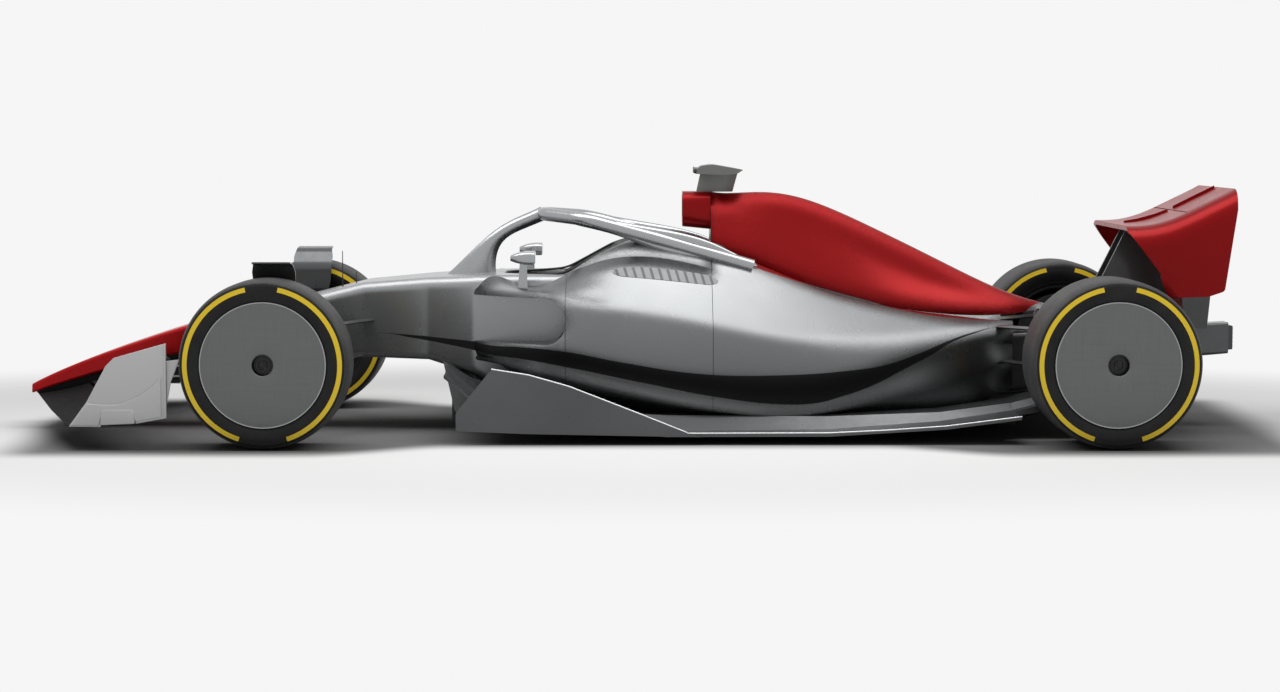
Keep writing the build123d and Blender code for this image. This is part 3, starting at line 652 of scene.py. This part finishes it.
# Painted highlight: bright metal for thin pipes laid along edges
painted_highlight_metal = plain_finish("painted_highlight_metal", (0.72, 0.73, 0.74), 0.24, 0.05, metallic=0.9)
black_metal = plain_finish("black_magnesium", (0.03, 0.03, 0.032), 0.4, 0.15, metallic=0.7)
nut_metal = plain_finish("black_anodised_nut", (0.008, 0.008, 0.009), 0.3, 0.1, metallic=0.4)
dark_metal = plain_finish("dark_anodised_alloy", (0.07, 0.072, 0.075), 0.38, 0.12, metallic=0.8)
hot_metal = plain_finish("heat_tinted_alloy", (0.34, 0.27, 0.2), 0.3, 0.3, metallic=1.0)
cast_metal = plain_finish("cast_alloy", (0.4, 0.4, 0.41), 0.5, 0.12, metallic=0.9, bump=0.4, bump_scale=180)
board = plain_finish("resin_board", (0.13, 0.1, 0.07), 0.6, 0.2, bump=0.3)
louvre_paint = louvre_finish("louvred_silver_panel")
grip_rubber = plain_finish("moulded_grip_rubber", (0.018, 0.018, 0.019), 0.62, 0.15, bump=0.3)
core_metal = radiator_finish("radiator_core_metal")
soft_black = cloth_finish("dark_padding_cloth", (0.03, 0.03, 0.032))
belt_black = cloth_finish("belt_webbing", (0.022, 0.022, 0.025))
mirror_glass = plain_finish("mirror_glass", (0.5, 0.52, 0.54), 0.05, 0.02, 0.02, metallic=1.0, bump=0.0)
lens_dark = glowless_lens("dark_glass", (0.01, 0.01, 0.012))
lamp_red = glowless_lens("red_lamp_lens", (0.28, 0.01, 0.01))
screen = glowless_lens("screen_glass", (0.015, 0.02, 0.03))
knob_blue = plain_finish("blue_knob", (0.03, 0.12, 0.5), 0.4)
knob_green = plain_finish("green_knob", (0.03, 0.35, 0.08), 0.4)
knob_yellow = plain_finish("yellow_knob", (0.7, 0.5, 0.03), 0.4)

CAD_FINISHES = {
    livery: ["cockpit_surround", "sidepod_left", "sidepod_right", "engine_cover"],
    cell_paint: ["survival_cell"],
    nose_red_painted_light: ["nose"],
    red: ["airbox", "rear_wing", "rear_wing_flap"],
    black: ["front_wing_main"],
    gunmetal: ["floor", "floor_fences", "beam_wing", "crash_structure",
               "front_suspension", "rear_suspension", "wheel_deflector_left", "wheel_deflector_right"],
    dark_weave: ["rear_wing_pylons", "rear_wing_lower_plates", "gearbox", "rain_light", "dash", "seat",
                 "steering_wheel"],
    silver: ["halo", "mirrors"],
    camera_grey: ["camera_pod"],
    board: ["plank"],
    cast_metal: ["engine"],
    hot_metal: ["exhaust"],
    dark_metal: ["steering_rack", "rear_uprights", "front_upright_left", "front_upright_right"],
    black_metal: [f"rim_{end}_{side}" for end in ("front", "rear") for side in SIDES],
    soft_black: ["headrest"],
}


def dress_frame():
    for material, names in CAD_FINISHES.items():
        for name in names:
            dress(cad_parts[name], material)
    dress(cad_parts["front_wing_flaps"], wing_flap_paint())


def wing_flap_paint():
    """Black weave on the flaps, with their outer ends painted white."""
    finish = Finish("black_flaps_with_white_ends")
    x, y, _ = finish.split()
    end = finish.ranged(finish.math("ABSOLUTE", y), 0.0, 1.0, WHITE_END_FROM, WHITE_END_FROM + 0.002)
    weave = finish.weave(finish.math("ADD", x, y), finish.math("SUBTRACT", x, y), TOW_RATE)
    tows = finish.ranged(weave, 0.0, 1.0, -1.0, 1.0)
    finish.paint(finish.blend(end, finish.blend(tows, BLACK, (0.011, 0.011, 0.012)), WHITE))
    finish.sheen(finish.varied(40, 4, 0.5, 0.62))
    finish.set(Specular_IOR_Level=0.15)
    finish.bump(weave, 0.04, 0.0002)
    return finish.material


# Wheels

# Tyre section: radius, distance in from the sidewall's widest point
TYRE_SECTION = [
    (232, 46), (243, 41.5), (246.5, 33), (252, 26), (262, 19.5), (263, 20.2), (265, 20.1), (266, 18.2),
    (280, 10.2), (294, 4.2), (306, 1.4), (314, 0.9), (315.6, 1.0), (316, 0.3), (336, 2.2),
    (336.4, 3.0), (340, 4.4), (346, 8), (350.5, 14), (354, 24), (357, 40), (359.2, 62), (360, 90),
]
BAND_INNER_R = 316
BAND_OUTER_R = 336.2
# Half of the yellow ring's gaps, in degrees
BAND_GAP_TOP = 13
BAND_GAP_FOOT = 18
BEAD_R = 231
BEAD_IN = 60
TYRE_STEPS = 180
# Radius from which the tyre gets the lighter tread rubber, as painted light
TREAD_R = 347
# Cover section: radius, distance in from the tyre's widest point
COVER_SECTION = [
    (0, 52), (40, 52), (42, 16), (43.5, 12), (46, 8.2), (52, 5.5), (90, 4.2), (170, 6.6), (240, 10.8),
    (256, 12.2), (260, 12.9), (262.5, 12.4), (266, 12), (267, 12.8), (267, 17), (262, 19),
    (246, 20),
]
# Radius from which the cover's edge is painted lighter, as a painted highlight
EDGE_LINE_R = 262.2
RECESS_R = 43.6
# Nut ring and drum sections: radius, distance out from the wheel's or the drum's face
NUT_RING_SECTION = [(20, -51), (37, -51), (37, -44), (33, -38), (22, -38), (20, -42), (20, -51)]
DRUM_SECTION = [
    (60, 0), (60, -5), (78, -5), (80, -2), (120, -2), (122, -7), (150, -7), (152, -2), (196, -2),
    (198, -6), (204, -6), (206, 0), (60, 0),
]
# The drum's inner face, in metres from the middle plane, and its rings' depth
DRUM_FACES = {"front": (0.718, 0.2), "rear": (0.625, 1)}


def wheel_places():
    for side, sign in SIDES.items():
        yield "front", side, sign, at(0, sign * FRONT_WHEEL_Y, TYRE_R), FRONT_TYRE_W / 2
        yield "rear", side, sign, at(WHEELBASE, sign * REAR_WHEEL_Y, TYRE_R), REAR_TYRE_W / 2


def from_axle(place, centre):
    """How far a place is from the axle, in millimetres."""
    return hypot(place.x - centre.x, place.z - centre.z) * 1000


def dress_ring(piece, material, centre, low, high):
    """Gives a material to the faces between two radii."""
    dress_faces(piece, material, lambda middle, normal: low <= from_axle(middle, centre) < high)


def tyre(name, centre, half_width):
    outside = [(r, half_width - inset) for r, inset in TYRE_SECTION]
    inside = [(r, -y) for r, y in reversed(outside)]
    bead = [(BEAD_R, BEAD_IN - half_width), (BEAD_R, half_width - BEAD_IN)]
    piece = turned(name, outside + inside + bead + outside[:1], centre, 1, TYRE_STEPS)
    dress(piece, sidewall)

    def on_band(middle, normal):
        turn = abs(degrees(atan2(middle.x - centre.x, middle.z - centre.z)))
        in_ring = BAND_INNER_R < from_axle(middle, centre) < BAND_OUTER_R and abs(normal.y) > 0.7
        return in_ring and BAND_GAP_TOP < turn < 180 - BAND_GAP_FOOT

    dress_faces(piece, band_yellow, on_band)
    # Painted light: faces from TREAD_R outwards get the lighter tread rubber
    dress_ring(piece, tread_painted_light, centre, TREAD_R, TYRE_R)
    return piece


def hub_nut(name, centre, side, half_width):
    """Dark wheel nut, sunk in the cover: a ring, a six-sided nut and a locking pin."""
    face = centre + Vector((0, side * half_width / 1000, 0))
    inward = Vector((0, -side, 0))
    ring = turned(f"{name}_ring", NUT_RING_SECTION, face, side, 48)
    nut = rod(f"{name}_hex", face + inward * 0.051, face + inward * 0.026, 0.019, 6)
    pin = rod(f"{name}_pin", face + inward * 0.03, face + inward * 0.02, 0.008)
    return joined(name, [ring, nut, pin])


def wheel_cover(name, centre, side, half_width):
    section = [(r, half_width - inset) for r, inset in COVER_SECTION]
    piece = turned(name, section, centre, side, 128)
    dress(piece, cover_grey)
    # Painted highlight: the lighter ring from EDGE_LINE_R outwards stands in for the highlight on the
    # cover's edge
    dress_ring(piece, cover_edge_painted_highlight, centre, EDGE_LINE_R, TYRE_R)
    # Painted shade: the hollow round the nut is painted black
    dress_ring(piece, black, centre, 0, RECESS_R)
    return piece


def drum_rings(name, centre, side, face, depth):
    """Stepped rings on the brake drum's inner face, shallow where the track rod passes."""
    section = [(r, y * depth) for r, y in DRUM_SECTION]
    return turned(name, section, Vector((centre.x, side * face, centre.z)), side, 96)


def wheels():
    for end, side, sign, centre, half_width in wheel_places():
        body = f"wheel_{end}_{side}"
        piece = fit(tyre(f"slick_tyre_{end}_{side}", centre, half_width), body)
        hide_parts(f"tyre_{end}_{side}")
        cover = fit(wheel_cover(f"disc_cover_{end}_{side}", centre, sign, half_width), body)
        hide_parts(f"wheel_cover_{end}_{side}")
        fit(hub_nut(f"hub_nut_{end}_{side}", centre, sign, half_width), body, nut_metal)
        carrier = f"knuckle_{side}" if end == "front" else "chassis"
        face, depth = DRUM_FACES[end]
        rings = drum_rings(f"drum_rings_{end}_{side}", centre, sign, face, depth)
        fit(rings, carrier, dark_metal)


# Front wing plates

# Outlines as (x, z)
PLATE_OUTLINE = [
    (-821, 101), (-686, 99), (-682, 133), (-541, 133), (-538, 113), (-407, 137), (-407, 453),
    (-627, 391), (-661, 358), (-744, 205),
]
PLATE_CREASE = [
    (-742, 201), (-676, 195), (-626, 195), (-588, 202), (-554, 217), (-520, 232), (-473, 265), (-428, 311),
    (-428, 141), (-536, 121), (-545, 139), (-684, 139), (-692, 104), (-812, 106),
]
PLATE_FOOT = [(-684, 108), (-541, 114), (-541, 166), (-556, 174), (-672, 174), (-684, 166)]
PLATE_LIP = [(-417, 135), (-407, 137), (-407, 453), (-417, 450)]
PLATE_TAIL = [(-440, 374), (-352, 383), (-389, 291), (-419, 133), (-440, 133)]
NOSE_FOOT = [
    (-1142, 168), (-1053, 212), (-940, 236), (-830, 260), (-800, 262), (-800, 190), (-960, 176),
    (-1130, 157),
]
NOSE_HALF_W = 150
# A plate's layers: outline, where it starts and how thick it is, its edge's radius and steps
PLATE_LAYERS = {
    "sheet": (PLATE_OUTLINE, 965, 12, 0.002),
    "bulge": (PLATE_CREASE, 971, 15, 0.0065, 5),
    "foot": (PLATE_FOOT, 971, 18, 0.004),
    "lip": (PLATE_LIP, 961, 20, 0.004),
    "tail": (PLATE_TAIL, 956, 10, 0.002),
}


def layer(name, outline, y, depth, edge, segments=3):
    points = [at(x, y, z) for x, z in outline]
    return plate(name, points, Vector((0, depth / 1000, 0)), edge, segments)


def wing_plate(name):
    """Front wing's end plate: flat upper half, bulged lower panel, foot step and folded rear lip."""
    return joined(name, [layer(f"{name}_{part}", *row) for part, row in PLATE_LAYERS.items()])


def wing_plates():
    for piece in both_sides("wing_plate", wing_plate, white):
        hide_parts("front_wing_endplates")


def nose_foot():
    """Closes the nose's underside down to the wing's middle."""
    piece = layer("nose_foot", NOSE_FOOT, -NOSE_HALF_W, 2 * NOSE_HALF_W, 0.003, 2)
    fit(piece, "chassis", black)


# Halo

# Fairing round the hoop's legs. Columns: x, y, top z, foot z, half thickness
HALO_FAIRING = [
    (1235, 168, 984, 936, 24), (1340, 232, 972, 914, 27), (1479, 262, 945, 884, 29),
    (1600, 276, 924, 832, 28), (1729, 280, 902, 786, 26), (1833, 279, 878, 772, 22),
    (1920, 275, 846, 765, 17), (2000, 270, 804, 757, 12), (2120, 262, 744, 736, 4),
]
HALO_RING_STEPS = 24


def halo_fairing(name):
    rings = []
    for x, y, top, foot, thick in HALO_FAIRING:
        ring = []
        for step in range(HALO_RING_STEPS):
            turn = 2 * pi * step / HALO_RING_STEPS
            out = thick * cos(turn) * abs(sin(turn)) ** 0.15
            up = (top - foot) / 2 * sin(turn)
            ring.append(at(x, y + out, (top + foot) / 2 + up))
        rings.append(ring)
    piece = skinned(name, rings)
    use_modifier(piece, "SUBSURF", levels=2, render_levels=2)
    smooth(piece, 80)
    return piece


# Cockpit

HEADREST_VOXEL = 0.008
HEADREST_CAP = 0.009
CLOTH_STEPS = 16
# What is kept of the cloth's moves, and of its height over the rim
CLOTH_SHARE = 0.5
RIM_SHARE = 0.1
# Height of the cockpit's rim at the pad's front and behind it, in metres
PAD_RIM = (0.698, 0.758)
BELT_WIDTH = 0.05
BELT_THICKNESS = 0.002
# Belt routes as (x, y, z), down the seat's back and over its sides
SHOULDER_BELT = [
    (1496, 62, 592), (1474, 62, 556), (1428, 60, 492), (1372, 56, 414), (1312, 46, 330), (1258, 26, 262),
    (1238, 14, 246),
]
LAP_BELT = [(1236, 158, 330), (1222, 148, 286), (1214, 118, 252), (1214, 70, 242), (1226, 18, 244)]
WHEEL_AT = (1075, 0, 600)
WHEEL_TILT = radians(14)
WHEEL_FACE = 25
GRIP_ROUTE = [(104, -46, 34), (112, -20, 36), (112, 20, 36), (102, 50, 34)]


def headrest():
    """Padded horseshoe, puffed up by a cloth simulation."""
    piece = copied(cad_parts["headrest"], "headrest_pad")
    closed_up(piece)
    use_modifier(piece, "REMESH", mode="VOXEL", voxel_size=HEADREST_VOXEL)
    start = [vertex.co.copy() for vertex in piece.data.vertices]
    pick(piece)
    cloth = piece.modifiers.new("Cloth", "CLOTH")
    cloth.settings.use_pressure = True
    cloth.settings.uniform_pressure_force = 4
    cloth.settings.effector_weights.gravity = 0
    cloth.point_cache.frame_end = CLOTH_STEPS
    for step in range(1, CLOTH_STEPS + 1):
        bpy.context.scene.frame_set(step)
    bpy.ops.object.modifier_apply(modifier=cloth.name)
    bpy.context.scene.frame_set(1)
    for vertex, place in zip(piece.data.vertices, start):
        move = vertex.co - place
        if move.length > HEADREST_CAP:
            move = move.normalized() * HEADREST_CAP
        vertex.co = place + move * CLOTH_SHARE
    for vertex in piece.data.vertices:
        rim = headrest_top(vertex.co.x)
        if vertex.co.z > rim:
            vertex.co.z = rim + (vertex.co.z - rim) * RIM_SHARE
    use_modifier(piece, "SMOOTH", factor=0.5, iterations=6)
    smooth(piece, 80)
    fit(piece, "chassis", soft_black)
    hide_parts("headrest")


def headrest_top(x):
    """The pad's arms dip to the cockpit's rim at their front."""
    share = (x - at(1240, 0, 0).x) / 0.2
    front, back = PAD_RIM
    return front + (back - front) * max(0, min(1, share))


def belt(name, route, side):
    points = [at(x, side * y, z) for x, y, z in route]
    half = Vector((0, BELT_WIDTH / 2, 0))
    return ribbon(name, [p - half for p in points], half * 2, BELT_THICKNESS)


def harness():
    pieces = []
    for side in (-1, 1):
        pieces.append(belt(f"shoulder_{side}", SHOULDER_BELT, side))
        points = [at(x, side * y, z) for x, y, z in LAP_BELT]
        pieces.append(ribbon(f"lap_{side}", points, Vector((-0.03, 0, 0.036)), BELT_THICKNESS))
    fit(joined("harness", pieces), "chassis", belt_black)
    buckle = rod("harness_buckle", at(1236, 0, 240), at(1224, 0, 256), 0.03, 32)
    fit(buckle, "chassis", dark_metal)


def on_wheel(a, b, c):
    """A point on the steering wheel's face: across, up and towards the driver, in millimetres."""
    x, y, z = WHEEL_AT
    lean, rise = sin(WHEEL_TILT), cos(WHEEL_TILT)
    return at(x - b * lean + c * rise, y + a, z + b * rise + c * lean)


def wheel_block(name, a, b, width, height, c, depth):
    """A flat block on the steering wheel, round (a, b), that starts at c and is depth thick."""
    corners = [(-1, -1), (1, -1), (1, 1), (-1, 1)]
    points = [on_wheel(a + u * width / 2, b + v * height / 2, c) for u, v in corners]
    return plate(name, points, on_wheel(0, 0, depth) - on_wheel(0, 0, 0), 0.002)


def wheel_knob(name, a, b, radius, depth):
    return rod(name, on_wheel(a, b, WHEEL_FACE), on_wheel(a, b, WHEEL_FACE + 1 + depth), radius / 1000, 20)


def steering_controls():
    pane = wheel_block("wheel_screen", 0, 22, 92, 52, WHEEL_FACE, 4)
    fit(pane, "steering_wheel", screen)
    knobs = {
        "rotary_knobs": (black_metal, [(-34, -34, 9, 14), (0, -38, 10, 14), (34, -34, 9, 14)]),
        "yellow_buttons": (knob_yellow, [(-62, 38, 5, 6), (62, 38, 5, 6)]),
        "blue_buttons": (knob_blue, [(-62, 18, 5, 6), (62, 18, 5, 6)]),
        "green_buttons": (knob_green, [(-62, -2, 5, 6), (62, -2, 5, 6)]),
    }
    for name, (material, places) in knobs.items():
        pieces = [wheel_knob(f"{name}_{i}", *place) for i, place in enumerate(places)]
        fit(joined(name, pieces), "steering_wheel", material)
    paddles = [wheel_block(f"paddle_{side}", side * 84, 20, 44, 34, -12, 5) for side in (-1, 1)]
    stems = [rod(f"paddle_stem_{side}", on_wheel(side * 70, 20, -9), on_wheel(side * 70, 20, 1), 0.005)
             for side in (-1, 1)]
    fit(joined("shift_paddles", paddles + stems), "steering_wheel", dark_weave)
    grips = []
    for side in (-1, 1):
        route = [on_wheel(side * a, b, c) for a, b, c in GRIP_ROUTE]
        grips.append(pipe(f"grip_{side}", route, 0.015, 12))
    fit(joined("wheel_grips", grips), "steering_wheel", grip_rubber)


RIM_ROUTE = [
    (975, 0, 693), (975, 60, 693), (984, 110, 694), (1030, 164, 695), (1100, 214, 697), (1180, 244, 700),
    (1250, 252, 708), (1320, 251, 745), (1400, 248, 789), (1480, 243, 832), (1545, 240, 846),
]


def cockpit_rim():
    right = [at(x, y, z + 3) for x, y, z in RIM_ROUTE]
    left = [Vector((p.x, -p.y, p.z)) for p in reversed(right[1:])]
    fit(pipe("cockpit_rim_seal", left + right, 0.005), "chassis", grip_rubber)


# Trim

# Outline of a mirror's pane as (y, z), and its place along the car
MIRROR_PANE = [
    (386, 768), (514, 768), (518, 778), (514, 804), (500, 810), (400, 810), (386, 804), (382, 778),
]
MIRROR_PANE_X = 1124
# Painted highlights: thin bright pipes along edges, as (x, y, z)
PAINTED_HIGHLIGHT_ROUTES = {
    "fence_edge": [(950, 786, 327), (1109, 786, 302), (1280, 786, 254), (1594, 786, 132), (1790, 784, 53)],
    "floor_edge": [(1790, 781, 50), (2400, 781, 52), (2650, 781, 64), (2900, 781, 81), (3225, 781, 122)],
}
PAINTED_HIGHLIGHT_R = 0.0032


def mirror_glass_pane(name):
    points = [at(MIRROR_PANE_X, y, z) for y, z in MIRROR_PANE]
    return plate(name, points, Vector((0.0035, 0, 0)), 0.001)


def painted_highlight_edges():
    """Painted highlights: thin bright pipes along the floor fences' edges and the floor's edge beside the
    pods.
    """
    for name, route in PAINTED_HIGHLIGHT_ROUTES.items():
        for side, sign in SIDES.items():
            points = [at(x, sign * y, z) for x, y, z in route]
            edge = pipe(f"{name}_{side}", points, PAINTED_HIGHLIGHT_R, order=2)
            fit(edge, "chassis", painted_highlight_metal)


def tube_lining(name, rings):
    """An open lining through rings of the same number of points."""
    loops = [drawn_line(f"{name}_{index}", ring + ring[:1]) for index, ring in enumerate(rings)]
    piece = joined(name, loops)
    edit(piece)
    bpy.ops.mesh.remove_doubles(threshold=0.0001)
    pick_mesh()
    bpy.ops.mesh.bridge_edge_loops()
    done()
    return thickened(piece, 0.0016, 40)


LOOP_STEPS = 5


def rounded_loop(x, half_w, low, high, corner, middle_y=0):
    """A rounded rectangle across the car at x, as points."""
    points = []
    corners = ((1, 1, 0), (-1, 1, 90), (-1, -1, 180), (1, -1, 270))
    for u, v, first in corners:
        cy = middle_y + u * (half_w - corner)
        cz = (high - corner) if v > 0 else (low + corner)
        for step in range(LOOP_STEPS + 1):
            turn = radians(first + 90 * step / LOOP_STEPS)
            points.append(at(x, cy + corner * cos(turn), cz + corner * sin(turn)))
    return points


# Airbox lining: x, half width, low z, high z, corner
AIRBOX_MOUTH = [(1781, 95, 929, 1053, 46), (1830, 89, 936, 1046, 42), (1878, 82, 943, 1038, 36)]
INLET_Y = 445


def inlet_lining(name):
    return tube_lining(name, [rounded_loop(x, 97, 435, 585, 38, INLET_Y) for x in (1268, 1395)])


def radiator_core(name):
    return plate(name, rounded_loop(1388, 95, 437, 583, 36, INLET_Y), Vector((0.012, 0, 0)), 0.001)


def intakes():
    mouth = [rounded_loop(*ring) for ring in AIRBOX_MOUTH]
    fit(tube_lining("airbox_lining", mouth), "chassis", dark_weave)
    both_sides("inlet_lining", inlet_lining, dark_weave)
    both_sides("radiator_core", radiator_core, core_metal)


# How far a square sheet's corners are drawn in, and how far above it the casts to the skin start
ROUNDING = 0.32
CAST_FROM = 0.3


def laid_patch(name, centre, along, across, half_long, half_wide, nodes, lift):
    """A thin oval sheet laid on the CAD nodes' skin, point by point."""
    piece = added(name, bpy.ops.mesh.primitive_grid_add, x_subdivisions=40, y_subdivisions=12, size=2)
    outward = along.cross(across).normalized()
    if outward.z < 0:
        outward = -outward
    for vertex in piece.data.vertices:
        u, v = vertex.co.x, vertex.co.y
        u, v = u * (1 - v * v * ROUNDING) ** 0.5, v * (1 - u * u * ROUNDING) ** 0.5
        place = centre + along * (u * half_long) + across * (v * half_wide)
        best = None
        for node in nodes:
            hit, spot, *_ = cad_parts[node].ray_cast(place + outward * CAST_FROM, -outward)
            if hit and (best is None or (spot - place).dot(outward) > (best - place).dot(outward)):
                best = spot
        vertex.co = (best or place) + outward * lift
    return thickened(piece, 0.003, 50, -1)


def louvre_panel(name):
    """Oval cooling panel laid on the deck."""
    centre = at(1700, 400, 708)
    along = Vector((1, 0, -0.06)).normalized()
    across = Vector((0, 282, -334)).normalized()
    nodes = ["sidepod_right", "cockpit_surround", "engine_cover"]
    return laid_patch(name, centre, along, across, 0.235, 0.034, nodes, 0.0014)


FIRST_LED = (4283, -33, 368)
LED_PITCH_Y = 22
LED_PITCH_Z = 19


def rear_lamp():
    leds = []
    x, y, z = FIRST_LED
    for row in range(5):
        for column in range(4):
            spot = at(x, y + LED_PITCH_Y * column, z + LED_PITCH_Z * row)
            leds.append(rod(f"led_{row}_{column}", spot, spot + Vector((0.004, 0, 0)), 0.0068, 14))
    fit(joined("rain_light_leds", leds), "chassis", lamp_red)


# Aerials and their feet: x, low z, high z, sides, foot radius, top radius
AERIALS = [
    (231, 628, 798, 12, 0.0026, 0.0018), (293, 632, 702, 12, 0.0026, 0.002),
    (231, 626, 640, 16, 0.008, 0.005), (293, 632, 644, 16, 0.008, 0.005),
]


def aerials():
    pieces = []
    for x, low, high, sides, foot, top in AERIALS:
        pieces.append(rod(f"aerial_{len(pieces)}", at(x, 0, low), at(x, 0, high), foot, sides, top))
    fit(joined("aerials", pieces), "chassis", grip_rubber)


LENS_Y = 96
LENS_Z = 1166
# A lens and its ring: start and end along the car, radius
LENS_PARTS = [(1832, 1850, 0.011), (1829, 1836, 0.014)]


def camera_lenses():
    pieces = []
    for side in (-1, 1):
        for start, end, radius in LENS_PARTS:
            front, back = (at(x, side * LENS_Y, LENS_Z) for x in (start, end))
            pieces.append(rod(f"lens_{side}_{start}", front, back, radius, 24))
    fit(joined("camera_lenses", pieces), "chassis", lens_dark)


# Tail pipe's lip: radius, x
TAIL_PIPE_SECTION = [
    (30, 3588), (34, 3592), (44, 3592), (46, 3588), (46, 3560), (42, 3560), (42, 3500), (30, 3500),
    (30, 3588),
]
TAIL_PIPE_Z = 500


def exhaust_pipe():
    line = drawn_line("tail_pipe_lip", [at(x, 0, TAIL_PIPE_Z + r) for r, x in TAIL_PIPE_SECTION])
    piece = spun(line, at(3560, 0, TAIL_PIPE_Z), (1, 0, 0), 48)
    fit(piece, "chassis", hot_metal)


def spot_on(node, x, z, side):
    """The point of a node's outer skin at x and z, and its normal there, found from the side."""
    start = at(x, side * 1400, z)
    hit, place, normal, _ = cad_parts[node].ray_cast(start, Vector((0, -side, 0)))
    return (place, normal) if hit else None


# The engine cover's studs run from the first to the last (x, z)
FIRST_STUD = (1990, 800)
LAST_STUD = (2900, 590)
STUDS = 6


def fasteners():
    pieces = []
    for side in (-1, 1):
        for step in range(STUDS):
            share = step / (STUDS - 1)
            x, z = (first + (last - first) * share for first, last in zip(FIRST_STUD, LAST_STUD))
            spot = spot_on("engine_cover", x, z, side)
            if spot is None:
                continue
            place, normal = spot
            inner, outer = place - normal * 0.003, place + normal * 0.0008
            pieces.append(rod(f"stud_{len(pieces)}", inner, outer, 0.0042, 12))
    fit(joined("quarter_turn_studs", pieces), "chassis", red)


# Foot of the rear wing's side plate as (x, z)
WING_FOOT = [(3866, 712), (4010, 712), (4010, 618), (3905, 616), (3892, 640)]


def wing_foot(name):
    """Lower front corner of the rear wing's side plate, flush with the plate."""
    skin, _ = spot_on("rear_wing", 4030, 660, 1)
    points = [at(x, 0, z) + Vector((0, skin.y - 0.006, 0)) for x, z in WING_FOOT]
    return plate(name, points, Vector((0, 0.0055, 0)), 0.001)


def trim():
    both_sides("mirror_pane", mirror_glass_pane, mirror_glass)
    painted_highlight_edges()
    intakes()
    both_sides("deck_louvres", louvre_panel, louvre_paint)
    rear_lamp()
    aerials()
    camera_lenses()
    exhaust_pipe()
    fasteners()
    both_sides("rear_wing_foot", wing_foot, red)


# Stage

WORLD_FILL = 0.22
BACKDROP = 0.92
FADE_SCALE = (1 / 3.9, 1 / 2.3, 1)
FADE_SHIFT = (0, -0.1, 0)
PAPER = (0.94, 0.94, 0.94)
# Floor colour of the painted shadow under the car
PAPER_IN_SHADOW = (0.22, 0.22, 0.22)
# The painted shadow: its middle, its half length and width, and the width of its soft edge, in metres
SHADOW_MIDDLE_X = 0.12
SHADOW_REACH = (2.9, 1.0)
SHADOW_SOFT = 0.3
OVERHEAD = {"place": (0, -0.8, 4.6), "size": (9, 2.6), "radiance": 3.4}


def studio_world():
    """White where the camera, gloss and glass see it, and a weaker fill elsewhere."""
    world = bpy.data.worlds.new("studio")
    bpy.context.scene.world = world
    sky = NodeTree(world)
    path = sky.node("ShaderNodeLightPath").outputs
    seen = sky.math("MAXIMUM", path["Is Camera Ray"], path["Is Glossy Ray"])
    seen = sky.math("MAXIMUM", seen, path["Is Transmission Ray"])
    background = sky.nodes["Background"]
    background.inputs["Color"].default_value = (1, 1, 1, 1)
    sky.join(sky.ranged(seen, WORLD_FILL, BACKDROP), background.inputs["Strength"])


def studio_floor():
    """Pale floor that holds the car's cast shadow and a painted shadow near it, and fades into the
    backdrop.
    """
    floor = added("studio_floor", bpy.ops.mesh.primitive_plane_add, size=160, location=(0, 0, -0.0005))
    paper = Finish("pale_floor")
    paper.nodes.remove(paper.surface)
    far = paper.node("ShaderNodeVectorMath", operation="LENGTH")
    paper.join(paper.mapped(FADE_SCALE, FADE_SHIFT), far.inputs[0])
    fade = paper.ranged(far.outputs["Value"], 0.0, 1.0, 0.75, 1.5, "SMOOTHSTEP")
    near = paper.node("ShaderNodeBsdfDiffuse")
    paper.join(shadow_tone(paper), near.inputs["Color"])
    glow = paper.node("ShaderNodeEmission")
    glow.inputs["Color"].default_value = (1, 1, 1, 1)
    glow.inputs["Strength"].default_value = BACKDROP
    mix = paper.node("ShaderNodeMixShader")
    for socket, part in zip(mix.inputs, (fade, near.outputs[0], glow.outputs[0])):
        paper.join(part, socket)
    paper.join(mix.outputs[0], paper.nodes["Material Output"].inputs["Surface"])
    dress(floor, paper.material)


def shadow_tone(paper):
    """Pale, and darker close under the car and a little past its wheels, as a painted shadow."""
    along, across, _ = paper.split(paper.mapped((1, 1, 1), (-SHADOW_MIDDLE_X, 0, 0)))
    along = paper.math("ABSOLUTE", along)
    wheel_share = paper.ranged(along, 0.0, 0.3, 0.9, 1.5, "SMOOTHSTEP")
    across = paper.math("SUBTRACT", paper.math("ABSOLUTE", across), wheel_share)
    shares = [paper.ranged(way, 0.0, 1.0, reach, reach - SHADOW_SOFT, "SMOOTHSTEP")
              for way, reach in zip((along, across), SHADOW_REACH)]
    return paper.blend(paper.math("MULTIPLY", *shares), PAPER, PAPER_IN_SHADOW)


def soft_lamp(name, place, size, radiance):
    lamp = bpy.data.lights.new(name, "AREA")
    lamp.shape = "RECTANGLE"
    lamp.size, lamp.size_y = size
    lamp.energy = radiance * pi * size[0] * size[1]
    holder = bpy.data.objects.new(name, lamp)
    holder.location = place
    bpy.context.scene.collection.objects.link(holder)


def photo_camera():
    """Level with the mirrors, far off to the car's left, looking a little down."""
    camera = bpy.data.cameras.new("camera")
    camera.lens = 74.85
    camera.sensor_width = 36
    holder = bpy.data.objects.new("camera", camera)
    holder.location = (0.025, -12.126, 1.343)
    holder.rotation_euler = (radians(85.38), 0, 0)
    bpy.context.scene.collection.objects.link(holder)
    bpy.context.scene.camera = holder


def studio():
    photo_camera()
    studio_world()
    studio_floor()
    soft_lamp("overhead_lamp", **OVERHEAD)
    bpy.context.scene.view_settings.view_transform = "Standard"


studio()
dress_frame()
wheels()
wing_plates()
nose_foot()
both_sides("halo_fairing", halo_fairing, silver)
headrest()
harness()
steering_controls()
cockpit_rim()
trim()
